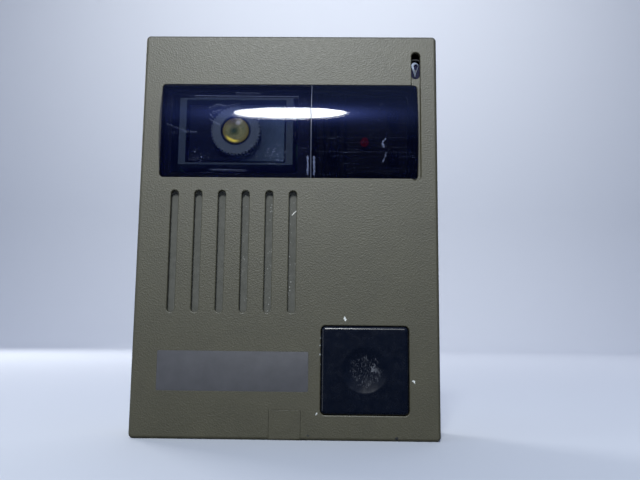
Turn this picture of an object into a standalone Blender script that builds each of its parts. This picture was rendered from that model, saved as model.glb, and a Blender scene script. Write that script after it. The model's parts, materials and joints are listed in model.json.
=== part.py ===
"""Door intercom panel: a wall-mounted video door station with camera, lamps, speaker and call button.

The panel stands upright as it hangs on a wall. X runs to the right seen from the front, Z runs up,
and the front faces -Y. The origin is the middle of the wall bracket's back face, on the wall plane.
Every length below is in millimetres. A height is a distance from the wall plane towards the front.
"""

import math

import bmesh
import bpy
from mathutils import Matrix, Vector

MM = 0.001
MERGE = 0.00001
GAP = 0.3
PAST = 1.0
SHARP_ANGLE = 35.0
BEVEL_STEPS = 3
FEW_STEPS = 2
ARC_STEPS = 5
ROUND_STEPS = 24
FINE_STEPS = 32
SMALL_STEPS = 12
TINY_STEPS = 10
MEDIUM_STEPS = 16
HEAD_ROUNDING = 0.3

# Front panel.
PANEL_WIDTH = 131.4
PANEL_HEIGHT = 178.0
FACE = 38.0
PANEL_RIM = 9.0
FRONT_WALL = 2.5
SIDE_WALL = 2.2
PANEL_CORNER = 2.0
PANEL_EDGE = 1.4
CAVITY_CORNER = 1.0
INNER_FACE = FACE - FRONT_WALL
HALF_WIDTH = PANEL_WIDTH / 2
HALF_HEIGHT = PANEL_HEIGHT / 2
INNER_HALF_X = HALF_WIDTH - SIDE_WALL
INNER_HALF_Z = HALF_HEIGHT - SIDE_WALL

# Window: two smoked domes side by side, their flanges behind the panel.
WINDOW_X = (-57.1, 57.0)
WINDOW_Z = (23.05, 66.1)
WINDOW_SEAM = 9.9
WINDOW_CORNER = 1.5
DOME_RISE = 5.5
DOME_WALL = 2.0
DOME_STEPS = 20
FLANGE = (32.6, 34.1)
FLANGE_MARGIN = 2.0
GASKET = (34.4, 35.2)
GASKET_MARGIN = 1.8

# Inner frame with the camera's chamber.
FRAME_PLATE = (30.3, 32.3)
FRAME_HALF_X = 61.3
FRAME_Z = (20.5, 67.8)
CHAMBER_REAR = 14.5
CHAMBER_WALL = 1.5
CAMERA_OPENING = ((-53.6, 3.6), (27.0, 63.2))
LAMP_OPENING = ((12.4, 53.2), (27.0, 63.2))
LAMP_OPENING_CORNER = 1.0
FRAME_BOSSES = [(-59.0, 17.0), (48.0, 17.0), (-40.0, 71.8), (40.0, 71.8)]
BOSS_RADIUS = 2.4
EAR_HALF = (3.2, 4.2)

# Camera: a block that tilts on two pins in a sheet metal yoke.
CAMERA_X = -23.9
CAMERA_Z = 44.8
YOKE_SIZE = (51.1, 30.6)
YOKE_SHEET = 0.8
YOKE_LIP = 3.2
YOKE_FRONT = 36.5
YOKE_BACK = 10.8
YOKE_CABLE_RADIUS = 6.0
PIVOT_HEIGHT = 27.0
PIN_RADIUS = 2.0
PIN_HEAD = (3.2, 1.1)
CAMERA_HALF = (21.6, 13.2)
CAMERA_FRONT = 33.5
CAMERA_REAR = 20.0
CAMERA_WALL = 1.6
CAMERA_EDGE = 0.5
BACK_COVER_HALF = (21.0, 11.5)
BACK_COVER = (18.6, 19.7)
SENSOR_BOARD_HALF = (18.0, 10.0)
SENSOR_BOARD = (22.0, 23.2)
SENSOR_HALF = (5.0, 4.5)
SENSOR_FRONT = 25.0
MOUNT_BORE = 7.0
MOUNT_RADIUS = 8.8
MOUNT_FLANGE_RADIUS = 10.5
MOUNT = (30.5, 31.7, 36.0)
RING_RADIUS = 11.1
RING_TEETH = 44
TOOTH_DEPTH = 0.45
TOOTH_SHARP_ANGLE = 20.0
QUARTER = 0.25
RING = (34.0, 37.5)
RING_WEB = 36.3
BARREL_RADIUS = 6.7
LENS_BORE = 5.9
REAR_BORE = 4.2
BARREL = (26.8, 32.5, 37.3)
GLASS_RADIUS = 5.6
GLASS = (33.0, 37.0)
GLASS_RISE = 1.6

# Lamps behind the right window.
LAMP_BOARD = (26.0, 27.2)
LAMP_BOARD_X = (12.6, 53.5)
LAMP_BOARD_Z = (26.2, 64.0)
LAMP_X = (19.5, 47.0)
LAMP_Z = (36.0, 54.0)
NIGHT_LAMP = (2.5, 7.0)
STATUS_LAMP = (1.5, 5.5)
LAMP_COLLAR = (0.4, 1.0)
STATUS_LAMP_AT = (33.9, 42.2)

# Speaker slots and the speaker behind them.
SLOT_COUNT = 6
SLOT_FIRST_X = -49.9
SLOT_PITCH = 10.41
SLOT_WIDTH = 3.3
SLOT_CORNER = 1.63
SLOT_Z = (-36.05, 17.45)
SPEAKER_X = SLOT_FIRST_X + SLOT_PITCH * (SLOT_COUNT - 1) / 2
SPEAKER_Z = sum(SLOT_Z) / 2
SPEAKER_RADIUS = 25.0
MEMBRANE = (34.7, 35.2)
MEMBRANE_MARGIN = (4.2, 2.4)
SPEAKER_GASKET = (24.6, 21.0, (33.5, 34.4))
BASKET = [(0, 22.2), (11.3, 22.2), (20.8, 31.8), (20.8, 33.2), (SPEAKER_RADIUS, 33.2),
          (SPEAKER_RADIUS, 32.4), (22.0, 32.4), (12.5, 21.0), (0, 21.0)]
CONE = [(0, 26.5), (4.0, 25.9), (7.0, 24.2), (18.4, 31.9), (19.9, 32.2), (19.9, 31.8), (18.7, 31.2),
        (7.0, 23.2), (0, 23.2)]
MAGNET_RADIUS = 13.0
MAGNET = (14.5, 20.7)
CLAMP = (30.9, 32.0)
CLAMP_BOSSES = [(-57.6, SPEAKER_Z), (9.7, SPEAKER_Z)]
CLAMP_HALF = (3.2, 3.5)
CLAMP_REACH = 2.0

# Self-tapping screws into the panel's bosses.
SCREW_CORE = 1.1
BOSS_SCREW_HEAD = (2.4, 1.6)
BOSS_SCREW_TIP = 34.8

# Microphone and its groove.
GROOVE_X = (54.45, 58.35)
GROOVE_Z = (22.4, 81.4)
GROOVE_CORNER = 1.9
GROOVE_DEPTH = 0.8
GROOVE_MID_X = sum(GROOVE_X) / 2
MIC_HOLE_Z = (69.3, 81.4)
MIC_Z = 73.8
BOOT = (5.6, 4.85, (28.0, 35.2))
CAPSULE_RADIUS = 4.5
CAPSULE = (29.5, 34.6)

# Name plate, and the screw cover with the screw that it hides.
PLATE_X = (-54.7, 9.8)
PLATE_Z = (-69.1, -52.3)
PLATE_DEPTH = 0.7
PLATE_CORNER = 0.6
COVER_X = (-6.7, 6.8)
COVER_TOP = -76.6
COVER_THICKNESS = 1.5
COVER_LIP = 33.0
COVER_ROUNDING = 0.9
FIXING_SCREW_X = sum(COVER_X) / 2
FIXING_SCREW_Z = -81.4
FIXING_BOSS_REAR = 24.0
FIXING_BOSS_MARGIN = 2.0
FIXING_BOSS_HALF_Z = 6.5
FIXING_HEAD = (3.5, (33.7, 35.9))
FIXING_SHANK = (1.75, 10.0)
FIXING_HEAD_POCKET = (3.9, 33.4)
FIXING_WAY_RADIUS = 2.2

# Call button, its guide, spring and switch.
BUTTON_X = (15.3, 52.3)
BUTTON_Z = (-78.25, -41.4)
BUTTON_FRONT = 38.8
BUTTON_REAR = 29.5
BUTTON_CORNER = 1.8
BUTTON_EDGE = 1.5
BUTTON_WALL = 1.5
BUTTON_INSIDE = 36.2
BUTTON_FLANGE = (34.2, 35.2)
BUTTON_FLANGE_MARGIN = 1.2
BUTTON_MID_X = sum(BUTTON_X) / 2
BUTTON_MID_Z = sum(BUTTON_Z) / 2
DISH_RADIUS = 9.6
DISH_DEPTH = 1.2
POST_RADIUS = 2.6
POST_END = 25.9
GUIDE = (24.9, 32.2)
GUIDE_MARGIN = 3.4
GUIDE_CLEARANCE = 0.5
GUIDE_FLOOR = 26.4
GUIDE_HOLE_RADIUS = 3.2
SPRING_RADIUS = 5.0
SPRING_WIRE = 0.4
SPRING_TURNS = 5
SPRING_POINTS = 12
SWITCH = (18.4, 23.6)
SWITCH_HALF = 6.0
SWITCH_BORE_END = 20.0
PLUNGER = (21.9, 25.6)
PLUNGER_RADIUS = 1.75
SWITCH_BOARD = (16.9, 18.1)
SWITCH_BOARD_HALF = 12.0

# Main board and what it carries.
BOARD = (8.9, 10.5)
BOARD_HALF_X = 57.0
BOARD_Z = (-74.0, 79.0)
BOARD_BOSSES = [(-52.0, 74.0), (52.0, -68.0)]
BOARD_HOLE_RADIUS = 1.6
BOARD_SCREW_HEAD = (2.6, (10.8, 12.5))
BOARD_SCREW_SHANK = (1.2, 5.0)
TRANSFORMER = ((22.0, 42.0), (10.8, 24.0), (-14.0, 6.0))
CAPACITOR = [(0, 24.0), (4.4, 24.0), (5.0, 23.4), (5.0, 10.8), (0, 10.8)]
CAPACITOR_AT = (51.0, 2.0)
TERMINAL_HALF = (14.0, 8.0)
TERMINAL = (4.7, 8.6)
TERMINAL_X = (-6.5, 6.5)
TERMINAL_Z = -26.0
TERMINAL_WELL = (3.5, 6.7)
TERMINAL_CORE = (1.8, 8.1)
TERMINAL_HEAD = (3.1, (5.0, 6.4))
TERMINAL_SHANK = (1.5, 7.9)
TERMINAL_SLOT = (4.2, 5.6)
TERMINAL_SLOT_HALF = (3.6, 0.45)
TRIMMER_AT = (50.0, -20.0)
TRIMMER = (4.9, 8.6)
TRIMMER_HALF = 3.6
DIAL = (2.2, 4.6)
DIAL_RADIUS = 2.5
DIAL_SLOT = (1.0, 3.0)
DIAL_SLOT_HALF = (1.9, 0.4)

# Rear case with a well for the wiring.
CASE_BACK = 1.6
CASE_FLOOR = 3.6
CASE_RIM = 15.0
CASE_WALL = 2.0
CASE_CORNER = 1.5
WELL_HALF = (28.0, 48.0)
WELL_FLOOR = (5.6, 7.0)
WELL_WALL = 1.5
CASE_FIXING_BOSS = (3.9, 22.0)
CASE_FIXING_CORE = (2.1, (8.0, 23.0))
CASE_BOARD_BOSS_RADIUS = 3.0
CASE_BOARD_CORE = (1.5, 4.5)
TRIMMER_HOLE_RADIUS = 2.9
HOOK_SLOT_HALF = 4.0
HOOK_SLOT_Z = (-6.5, 1.5)
LOCK_SCREW_Z = -66.0
LOCK_HOLE_RADIUS = 2.0
LOCK_HEAD = (3.2, (3.9, 5.8))
LOCK_SHANK = (1.6, 0.3)

# Wall bracket and the foam ring round it.
BRACKET_HALF = (42.0, 78.0)
BRACKET_SHEET = 1.2
BRACKET_CORNER = 4.0
BRACKET_OPENING_HALF_X = 24.0
CABLE_OPENING_Z = (13.0, 35.0)
TERMINAL_OPENING_Z = (-37.0, -15.5)
OPENING_CORNER = 2.0
FIXING_PITCH = 83.5
FIXING_HALF = (6.0, 2.6)
FIXING_CORNER = 2.5
HOOK_X = (-34.0, 34.0)
HOOK_Z = 60.0
HOOK_HALF = 3.0
HOOK_TIP = 6.0
HOOK_REACH = 6.0
LOCK_THREAD_RADIUS = 1.9
FOAM_HALF = (61.5, 84.5)
FOAM_WIDTH = 4.0
FOAM_THICKNESS = 1.3

# Turning the local Z axis of a lathe-made piece to the front or to the right.
FRONT = Matrix.Rotation(math.radians(90.0), 4, "X")
RIGHT = Matrix.Rotation(math.radians(90.0), 4, "Y")


# ---------------------------------------------------------------- scene and materials

def clear_scene():
    for item in list(bpy.data.objects):
        bpy.data.objects.remove(item, do_unlink=True)


def new_collection(name):
    collection = bpy.data.collections.new(name)
    bpy.context.scene.collection.children.link(collection)
    return collection


def paint(name, colour, roughness, metallic=0.0, alpha=1.0):
    material = bpy.data.materials.new(name)
    material.use_nodes = True
    shader = material.node_tree.nodes["Principled BSDF"]
    shader.inputs["Base Color"].default_value = (*colour, 1.0)
    shader.inputs["Roughness"].default_value = roughness
    shader.inputs["Metallic"].default_value = metallic
    shader.inputs["Alpha"].default_value = alpha
    return material


def make_materials():
    return {
        "bronze": paint("bronze_paint", (0.105, 0.1, 0.075), 0.45),
        "film": paint("name_film", (0.085, 0.09, 0.1), 0.35),
        "smoke": paint("smoke_acrylic", (0.02, 0.03, 0.07), 0.08, alpha=0.5),
        "black": paint("black_plastic", (0.012, 0.012, 0.014), 0.5),
        "rubber": paint("black_rubber", (0.02, 0.02, 0.02), 0.8),
        "zinc": paint("zinc_plate", (0.5, 0.52, 0.55), 0.35, metallic=1.0),
        "ring": paint("ring_plastic", (0.18, 0.2, 0.24), 0.5),
        "glass": paint("coated_glass", (0.45, 0.42, 0.15), 0.03, alpha=0.8),
        "button": paint("button_plastic", (0.012, 0.014, 0.022), 0.22),
        "membrane": paint("speaker_membrane", (0.1, 0.09, 0.095), 0.7),
        "circuit": paint("circuit_board", (0.02, 0.13, 0.05), 0.4),
        "steel": paint("bright_steel", (0.6, 0.6, 0.6), 0.3, metallic=1.0),
        "brass": paint("brass_screw", (0.7, 0.5, 0.2), 0.3, metallic=1.0),
        "paper": paint("cone_paper", (0.05, 0.05, 0.045), 0.9),
        "red": paint("red_lens", (0.6, 0.02, 0.02), 0.15),
        "dark_lens": paint("dark_lens", (0.03, 0.03, 0.09), 0.15),
        "white": paint("white_plastic", (0.7, 0.68, 0.62), 0.5),
        "foam": paint("grey_foam", (0.06, 0.06, 0.06), 0.95),
    }


# ---------------------------------------------------------------- shapes

def finish_mesh(mesh, sharp_angle=SHARP_ANGLE):
    """Weld loose caps, point the faces outwards and shade round faces smooth."""
    shape = bmesh.new()
    shape.from_mesh(mesh)
    bmesh.ops.remove_doubles(shape, verts=shape.verts, dist=MERGE)
    bmesh.ops.recalc_face_normals(shape, faces=shape.faces)
    shape.to_mesh(mesh)
    shape.free()
    mesh.shade_smooth()
    mesh.set_sharp_from_angle(angle=math.radians(sharp_angle))


def put(name, mesh, where, matrix=None, material=None):
    """Add a mesh as an object at a place given in millimetres."""
    item = bpy.data.objects.new(name, mesh)
    item.matrix_world = Matrix.Translation(Vector(where) * MM) @ (matrix or Matrix.Identity(4))
    if material:
        mesh.materials.clear()
        mesh.materials.append(material)
    PARTS.objects.link(item)
    return item


def as_cutter(item):
    for collection in list(item.users_collection):
        collection.objects.unlink(item)
    CUTTERS.objects.link(item)
    item.hide_render = True
    item.display_type = "WIRE"
    return item


def block(name, x, height, z, material=None, corner=0.0, edge=0.0, segments=BEVEL_STEPS):
    """A box from low to high on each axis, with round corners in the front view and a round front edge."""
    size = Vector((x[1] - x[0], height[1] - height[0], z[1] - z[0])) * MM
    shape = bmesh.new()
    bmesh.ops.create_cube(shape, size=1.0)
    bmesh.ops.scale(shape, vec=size, verts=shape.verts)
    if corner:
        upright = [e for e in shape.edges if abs(e.verts[0].co.y - e.verts[1].co.y) > MERGE]
        bevel_edges(shape, upright, corner, segments)
    if edge:
        front = [e for e in shape.edges if all(v.co.y < MERGE - size.y / 2 for v in e.verts)]
        bevel_edges(shape, front, edge, segments)
    mesh = bpy.data.meshes.new(name)
    shape.to_mesh(mesh)
    shape.free()
    finish_mesh(mesh)
    middle = (sum(x) / 2, -sum(height) / 2, sum(z) / 2)
    return put(name, mesh, middle, material=material)


def bevel_edges(shape, edges, width, segments):
    bmesh.ops.bevel(shape, geom=edges, offset=width * MM, offset_type="OFFSET", segments=segments,
                    profile=0.5, affect="EDGES", clamp_overlap=True)


def turned(name, profile, x, z, material=None, steps=ROUND_STEPS, closed=False, matrix=FRONT):
    """A lathe-made piece: radius and height pairs, down the outer side, turned about the local Z axis."""
    points = [(radius * MM, 0.0, height * MM) for radius, height in profile]
    edges = [(i, i + 1) for i in range(len(points) - 1)]
    if closed:
        edges.append((len(points) - 1, 0))
    mesh = bpy.data.meshes.new(name)
    mesh.from_pydata(points, edges, [])
    item = put(name, mesh, (x, 0, z), matrix)
    screw = item.modifiers.new("turn", "SCREW")
    screw.steps = steps
    screw.render_steps = steps
    screw.use_merge_vertices = True
    screw.merge_threshold = MERGE
    return made_solid(item, material)


def extruded(name, outline, x, material=None):
    """A prism along X: an outline of height and z pairs, filled as a flat curve and given thickness."""
    curve = bpy.data.curves.new(name, "CURVE")
    curve.dimensions = "2D"
    curve.fill_mode = "BOTH"
    curve.extrude = (x[1] - x[0]) / 2 * MM
    spline = curve.splines.new("POLY")
    spline.points.add(len(outline) - 1)
    for point, (height, z) in zip(spline.points, outline):
        point.co = (-height * MM, z * MM, 0.0, 1.0)
    spline.use_cyclic_u = True
    item = bpy.data.objects.new(name, curve)
    PARTS.objects.link(item)
    yz_plane = Matrix(((0, 0, 1, 0), (1, 0, 0, 0), (0, 1, 0, 0), (0, 0, 0, 1)))
    item.matrix_world = Matrix.Translation((sum(x) / 2 * MM, 0.0, 0.0)) @ yz_plane
    return made_solid(item, material)


def wire(name, route, radius, material):
    """A round wire through x, height, z points."""
    curve = bpy.data.curves.new(name, "CURVE")
    curve.dimensions = "3D"
    curve.bevel_depth = radius * MM
    curve.bevel_resolution = 1
    curve.use_fill_caps = True
    spline = curve.splines.new("POLY")
    spline.points.add(len(route) - 1)
    for point, (x, height, z) in zip(spline.points, route):
        point.co = (x * MM, -height * MM, z * MM, 1.0)
    item = bpy.data.objects.new(name, curve)
    PARTS.objects.link(item)
    return made_solid(item, material)


def made_solid(item, material):
    """Replace a curve or a modified object with the mesh it evaluates to."""
    bpy.context.view_layer.update()
    seen = item.evaluated_get(bpy.context.evaluated_depsgraph_get())
    mesh = bpy.data.meshes.new_from_object(seen)
    mesh.name = item.name
    solid = bpy.data.objects.new(item.name + "_solid", mesh)
    solid.matrix_world = item.matrix_world
    PARTS.objects.link(solid)
    name = item.name
    bpy.data.objects.remove(item, do_unlink=True)
    solid.name = name
    finish_mesh(mesh)
    mesh.materials.clear()
    if material:
        mesh.materials.append(material)
    return solid


def combine(target, operation, tools):
    for tool in tools:
        as_cutter(tool)
        change = target.modifiers.new(tool.name, "BOOLEAN")
        change.operation = operation
        change.solver = "EXACT"
        change.object = tool
    return target


def cut(target, *tools):
    return combine(target, "DIFFERENCE", tools)


def join(target, *tools):
    return combine(target, "UNION", tools)


def hole(name, x, z, height, radius, steps=ROUND_STEPS, material=None):
    """A plain round piece along Y, most often a cutter."""
    return turned(name, [(0, height[1]), (radius, height[1]), (radius, height[0]), (0, height[0])], x, z,
                  material, steps=steps)


def tube_profile(outer, inner, height):
    return [(inner, height[1]), (outer, height[1]), (outer, height[0]), (inner, height[0])]


def outward_screw(head_radius, head, shank_radius, tip):
    """A screw driven from the front: a pan head, then the shank down to its tip."""
    low, high = head
    round_off = HEAD_ROUNDING * (high - low)
    return [(0, high), (head_radius - round_off, high), (head_radius, high - round_off),
            (head_radius, low), (shank_radius, low), (shank_radius, tip), (0, tip)]


def inward_screw(head_radius, head, shank_radius, tip):
    """A screw driven from the back: its head is nearer the wall and its tip points to the front."""
    low, high = head
    round_off = HEAD_ROUNDING * (high - low)
    return [(0, tip), (shank_radius, tip), (shank_radius, high), (head_radius, high),
            (head_radius, low + round_off), (head_radius - round_off, low), (0, low)]


def boss_screw(name, x, z, face, material):
    """A self-tapping screw from behind, its head on a face, into one of the panel's bosses."""
    radius, thickness = BOSS_SCREW_HEAD
    head = (face - GAP - thickness, face - GAP)
    turned(name, inward_screw(radius, head, SCREW_CORE, BOSS_SCREW_TIP), x, z, material, steps=SMALL_STEPS)


def arc(centre, radius, start, end, count):
    """Points on a circle, as pairs; the angles are in degrees from the first axis."""
    turn = [math.radians(start + (end - start) * i / count) for i in range(count + 1)]
    return [(centre[0] + radius * math.cos(a), centre[1] + radius * math.sin(a)) for a in turn]


def pivot(name, x, height, z):
    """An empty on a joint's axis, which the moving pieces hang from."""
    empty = bpy.data.objects.new(name, None)
    empty.location = Vector((x, -height, z)) * MM
    PARTS.objects.link(empty)
    return empty


def hang(empty, *pieces):
    bpy.context.view_layer.update()
    for piece in pieces:
        piece.parent = empty
        piece.matrix_parent_inverse = empty.matrix_world.inverted()


def grown(span, margin):
    return (span[0] - margin, span[1] + margin)


def about(middle, half):
    return (middle - half, middle + half)


# ---------------------------------------------------------------- front panel

def make_front_panel(m):
    """The painted die-cast shell with its openings and screw bosses."""
    panel = block("front_panel", about(0, HALF_WIDTH), (PANEL_RIM, FACE), about(0, HALF_HEIGHT),
                  m["bronze"], corner=PANEL_CORNER, edge=PANEL_EDGE)
    cut(panel, block("panel_cavity", about(0, INNER_HALF_X), (PANEL_RIM - PAST, INNER_FACE),
                     about(0, INNER_HALF_Z), corner=CAVITY_CORNER, segments=FEW_STEPS))
    bosses = [(x, z, FRAME_PLATE[1]) for x, z in FRAME_BOSSES]
    bosses += [(x, z, CLAMP[1]) for x, z in CLAMP_BOSSES]
    for number, (x, z, face) in enumerate(bosses, 1):
        end = face + GAP
        join(panel, hole(f"panel_boss_{number}", x, z, (end, INNER_FACE + PAST), BOSS_RADIUS, SMALL_STEPS))
        core = (end - PAST, INNER_FACE)
        cut(panel, hole(f"panel_core_{number}", x, z, core, SCREW_CORE + GAP, TINY_STEPS))
    join(panel, block("fixing_boss", grown(COVER_X, FIXING_BOSS_MARGIN),
                      (FIXING_BOSS_REAR, INNER_FACE + PAST), about(FIXING_SCREW_Z, FIXING_BOSS_HALF_Z)))
    through = (INNER_FACE - PAST, FACE + PAST)
    head_radius, head_floor = FIXING_HEAD_POCKET
    screw_way = [(0, FACE), (head_radius, FACE), (head_radius, head_floor), (FIXING_WAY_RADIUS, head_floor),
                 (FIXING_WAY_RADIUS, FIXING_BOSS_REAR - PAST), (0, FIXING_BOSS_REAR - PAST)]
    cut(panel,
        block("window_opening", WINDOW_X, through, WINDOW_Z, corner=WINDOW_CORNER),
        block("groove_floor", GROOVE_X, (FACE - GROOVE_DEPTH, FACE + PAST), GROOVE_Z, corner=GROOVE_CORNER),
        block("microphone_hole", GROOVE_X, through, MIC_HOLE_Z, corner=GROOVE_CORNER),
        block("button_opening", grown(BUTTON_X, GAP), through, grown(BUTTON_Z, GAP),
              corner=BUTTON_CORNER + GAP),
        block("plate_recess", PLATE_X, (FACE - PLATE_DEPTH, FACE + PAST), PLATE_Z, corner=PLATE_CORNER),
        block("cover_recess", COVER_X, (FACE - COVER_THICKNESS - GAP, FACE + PAST),
              (-HALF_HEIGHT - PAST, COVER_TOP)),
        block("cover_lip_recess", COVER_X, (COVER_LIP - GAP, FACE + PAST),
              (-HALF_HEIGHT - PAST, COVER_THICKNESS + GAP - HALF_HEIGHT)),
        turned("screw_way", screw_way, FIXING_SCREW_X, FIXING_SCREW_Z))
    for number in range(SLOT_COUNT):
        x = SLOT_FIRST_X + number * SLOT_PITCH
        cut(panel, block(f"speaker_slot_{number + 1}", about(x, SLOT_WIDTH / 2), through, SLOT_Z,
                         corner=SLOT_CORNER, segments=ARC_STEPS))


def make_panel_fittings(m):
    """The name plate, the screw cover and the screw it hides."""
    plate_height = (FACE - PLATE_DEPTH + GAP, FACE)
    block("name_plate", grown(PLATE_X, -GAP), plate_height, grown(PLATE_Z, -GAP), m["film"])
    cover_x = grown(COVER_X, -GAP)
    cover = block("screw_cover", cover_x, (FACE - COVER_THICKNESS, FACE), (-HALF_HEIGHT, COVER_TOP - GAP),
                  m["bronze"])
    join(cover, block("cover_lip", cover_x, (COVER_LIP, FACE - COVER_THICKNESS / 2),
                      (-HALF_HEIGHT, COVER_THICKNESS - HALF_HEIGHT)))
    centre = (FACE - COVER_ROUNDING, COVER_ROUNDING - HALF_HEIGHT)
    corner = [(centre[0], -HALF_HEIGHT - PAST), (FACE + PAST, -HALF_HEIGHT - PAST), (FACE + PAST, centre[1])]
    corner += arc(centre, COVER_ROUNDING, 0, -90, ARC_STEPS)
    cut(cover, extruded("cover_edge", corner, grown(COVER_X, PAST)))
    turned("fixing_screw", outward_screw(*FIXING_HEAD, *FIXING_SHANK), FIXING_SCREW_X, FIXING_SCREW_Z,
           m["zinc"], steps=MEDIUM_STEPS)
    hang(pivot("screw_cover_slide", FIXING_SCREW_X, FACE, -HALF_HEIGHT), cover)


# ---------------------------------------------------------------- windows and inner frame

def dome_outline(inset, foot):
    """The window's curved section, as height and z pairs, drawn inset from the outer surface."""
    half = (WINDOW_Z[1] - WINDOW_Z[0]) / 2 - GAP
    middle = sum(WINDOW_Z) / 2
    radius = (half * half + DOME_RISE * DOME_RISE) / (2 * DOME_RISE)
    centre = (FACE + DOME_RISE - radius, middle)
    reach = math.degrees(math.asin((half - inset) / (radius - inset)))
    curve = arc(centre, radius - inset, -reach, reach, DOME_STEPS)
    return [(foot, middle - half + inset)] + curve + [(foot, middle + half - inset)]


def make_window(name, x, outer_side, m):
    """One smoked dome: a curved shell with end walls and a flange behind the panel."""
    foot = FLANGE[0]
    body = extruded(name, dome_outline(0.0, foot), x, m["smoke"])
    beyond = DOME_RISE + PAST
    rounded_x = (x[0], x[1] + beyond) if outer_side < 0 else (x[0] - beyond, x[1])
    rounded = block(f"{name}_outline", rounded_x, (foot - PAST, FACE + beyond), grown(WINDOW_Z, -GAP),
                    corner=WINDOW_CORNER)
    combine(body, "INTERSECT", [rounded])
    flange_x = (x[0] - FLANGE_MARGIN, x[1]) if outer_side < 0 else (x[0], x[1] + FLANGE_MARGIN)
    join(body, block(f"{name}_flange", flange_x, FLANGE, grown(WINDOW_Z, FLANGE_MARGIN - GAP)))
    cut(body, extruded(f"{name}_hollow", dome_outline(DOME_WALL, foot - PAST), grown(x, -DOME_WALL)))


def make_windows(m):
    seam_half = GAP / 2
    make_window("camera_window", (WINDOW_X[0] + GAP, WINDOW_SEAM - seam_half), -1, m)
    make_window("lamp_window", (WINDOW_SEAM + seam_half, WINDOW_X[1] - GAP), 1, m)
    gasket = block("window_gasket", grown(WINDOW_X, GASKET_MARGIN), GASKET, grown(WINDOW_Z, GASKET_MARGIN),
                   m["rubber"])
    cut(gasket, block("gasket_hole", grown(WINDOW_X, GAP), grown(GASKET, PAST), grown(WINDOW_Z, GAP)))


def make_inner_frame(m):
    """The black frame that clamps the windows, with the light-tight chamber round the camera."""
    frame = block("inner_frame", about(0, FRAME_HALF_X), FRAME_PLATE, FRAME_Z, m["black"])
    join(frame, block("chamber_walls", grown(CAMERA_OPENING[0], CHAMBER_WALL),
                      (CHAMBER_REAR, FRAME_PLATE[0] + PAST / 2), grown(CAMERA_OPENING[1], CHAMBER_WALL)))
    for number, (x, z) in enumerate(FRAME_BOSSES, 1):
        ear_x = (max(x - EAR_HALF[0], -FRAME_HALF_X), x + EAR_HALF[0])
        join(frame, block(f"frame_ear_{number}", ear_x, FRAME_PLATE, about(z, EAR_HALF[1])))
    through = grown(FRAME_PLATE, PAST)
    cut(frame,
        block("camera_opening", CAMERA_OPENING[0], (CHAMBER_REAR - PAST, through[1]), CAMERA_OPENING[1]),
        block("lamp_opening", LAMP_OPENING[0], through, LAMP_OPENING[1], corner=LAMP_OPENING_CORNER))
    for number, (x, z) in enumerate(FRAME_BOSSES, 1):
        cut(frame, hole(f"frame_hole_{number}", x, z, through, SCREW_CORE + GAP, TINY_STEPS))
        boss_screw(f"frame_screw_{number}", x, z, FRAME_PLATE[0], m["zinc"])


# ---------------------------------------------------------------- camera

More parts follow.
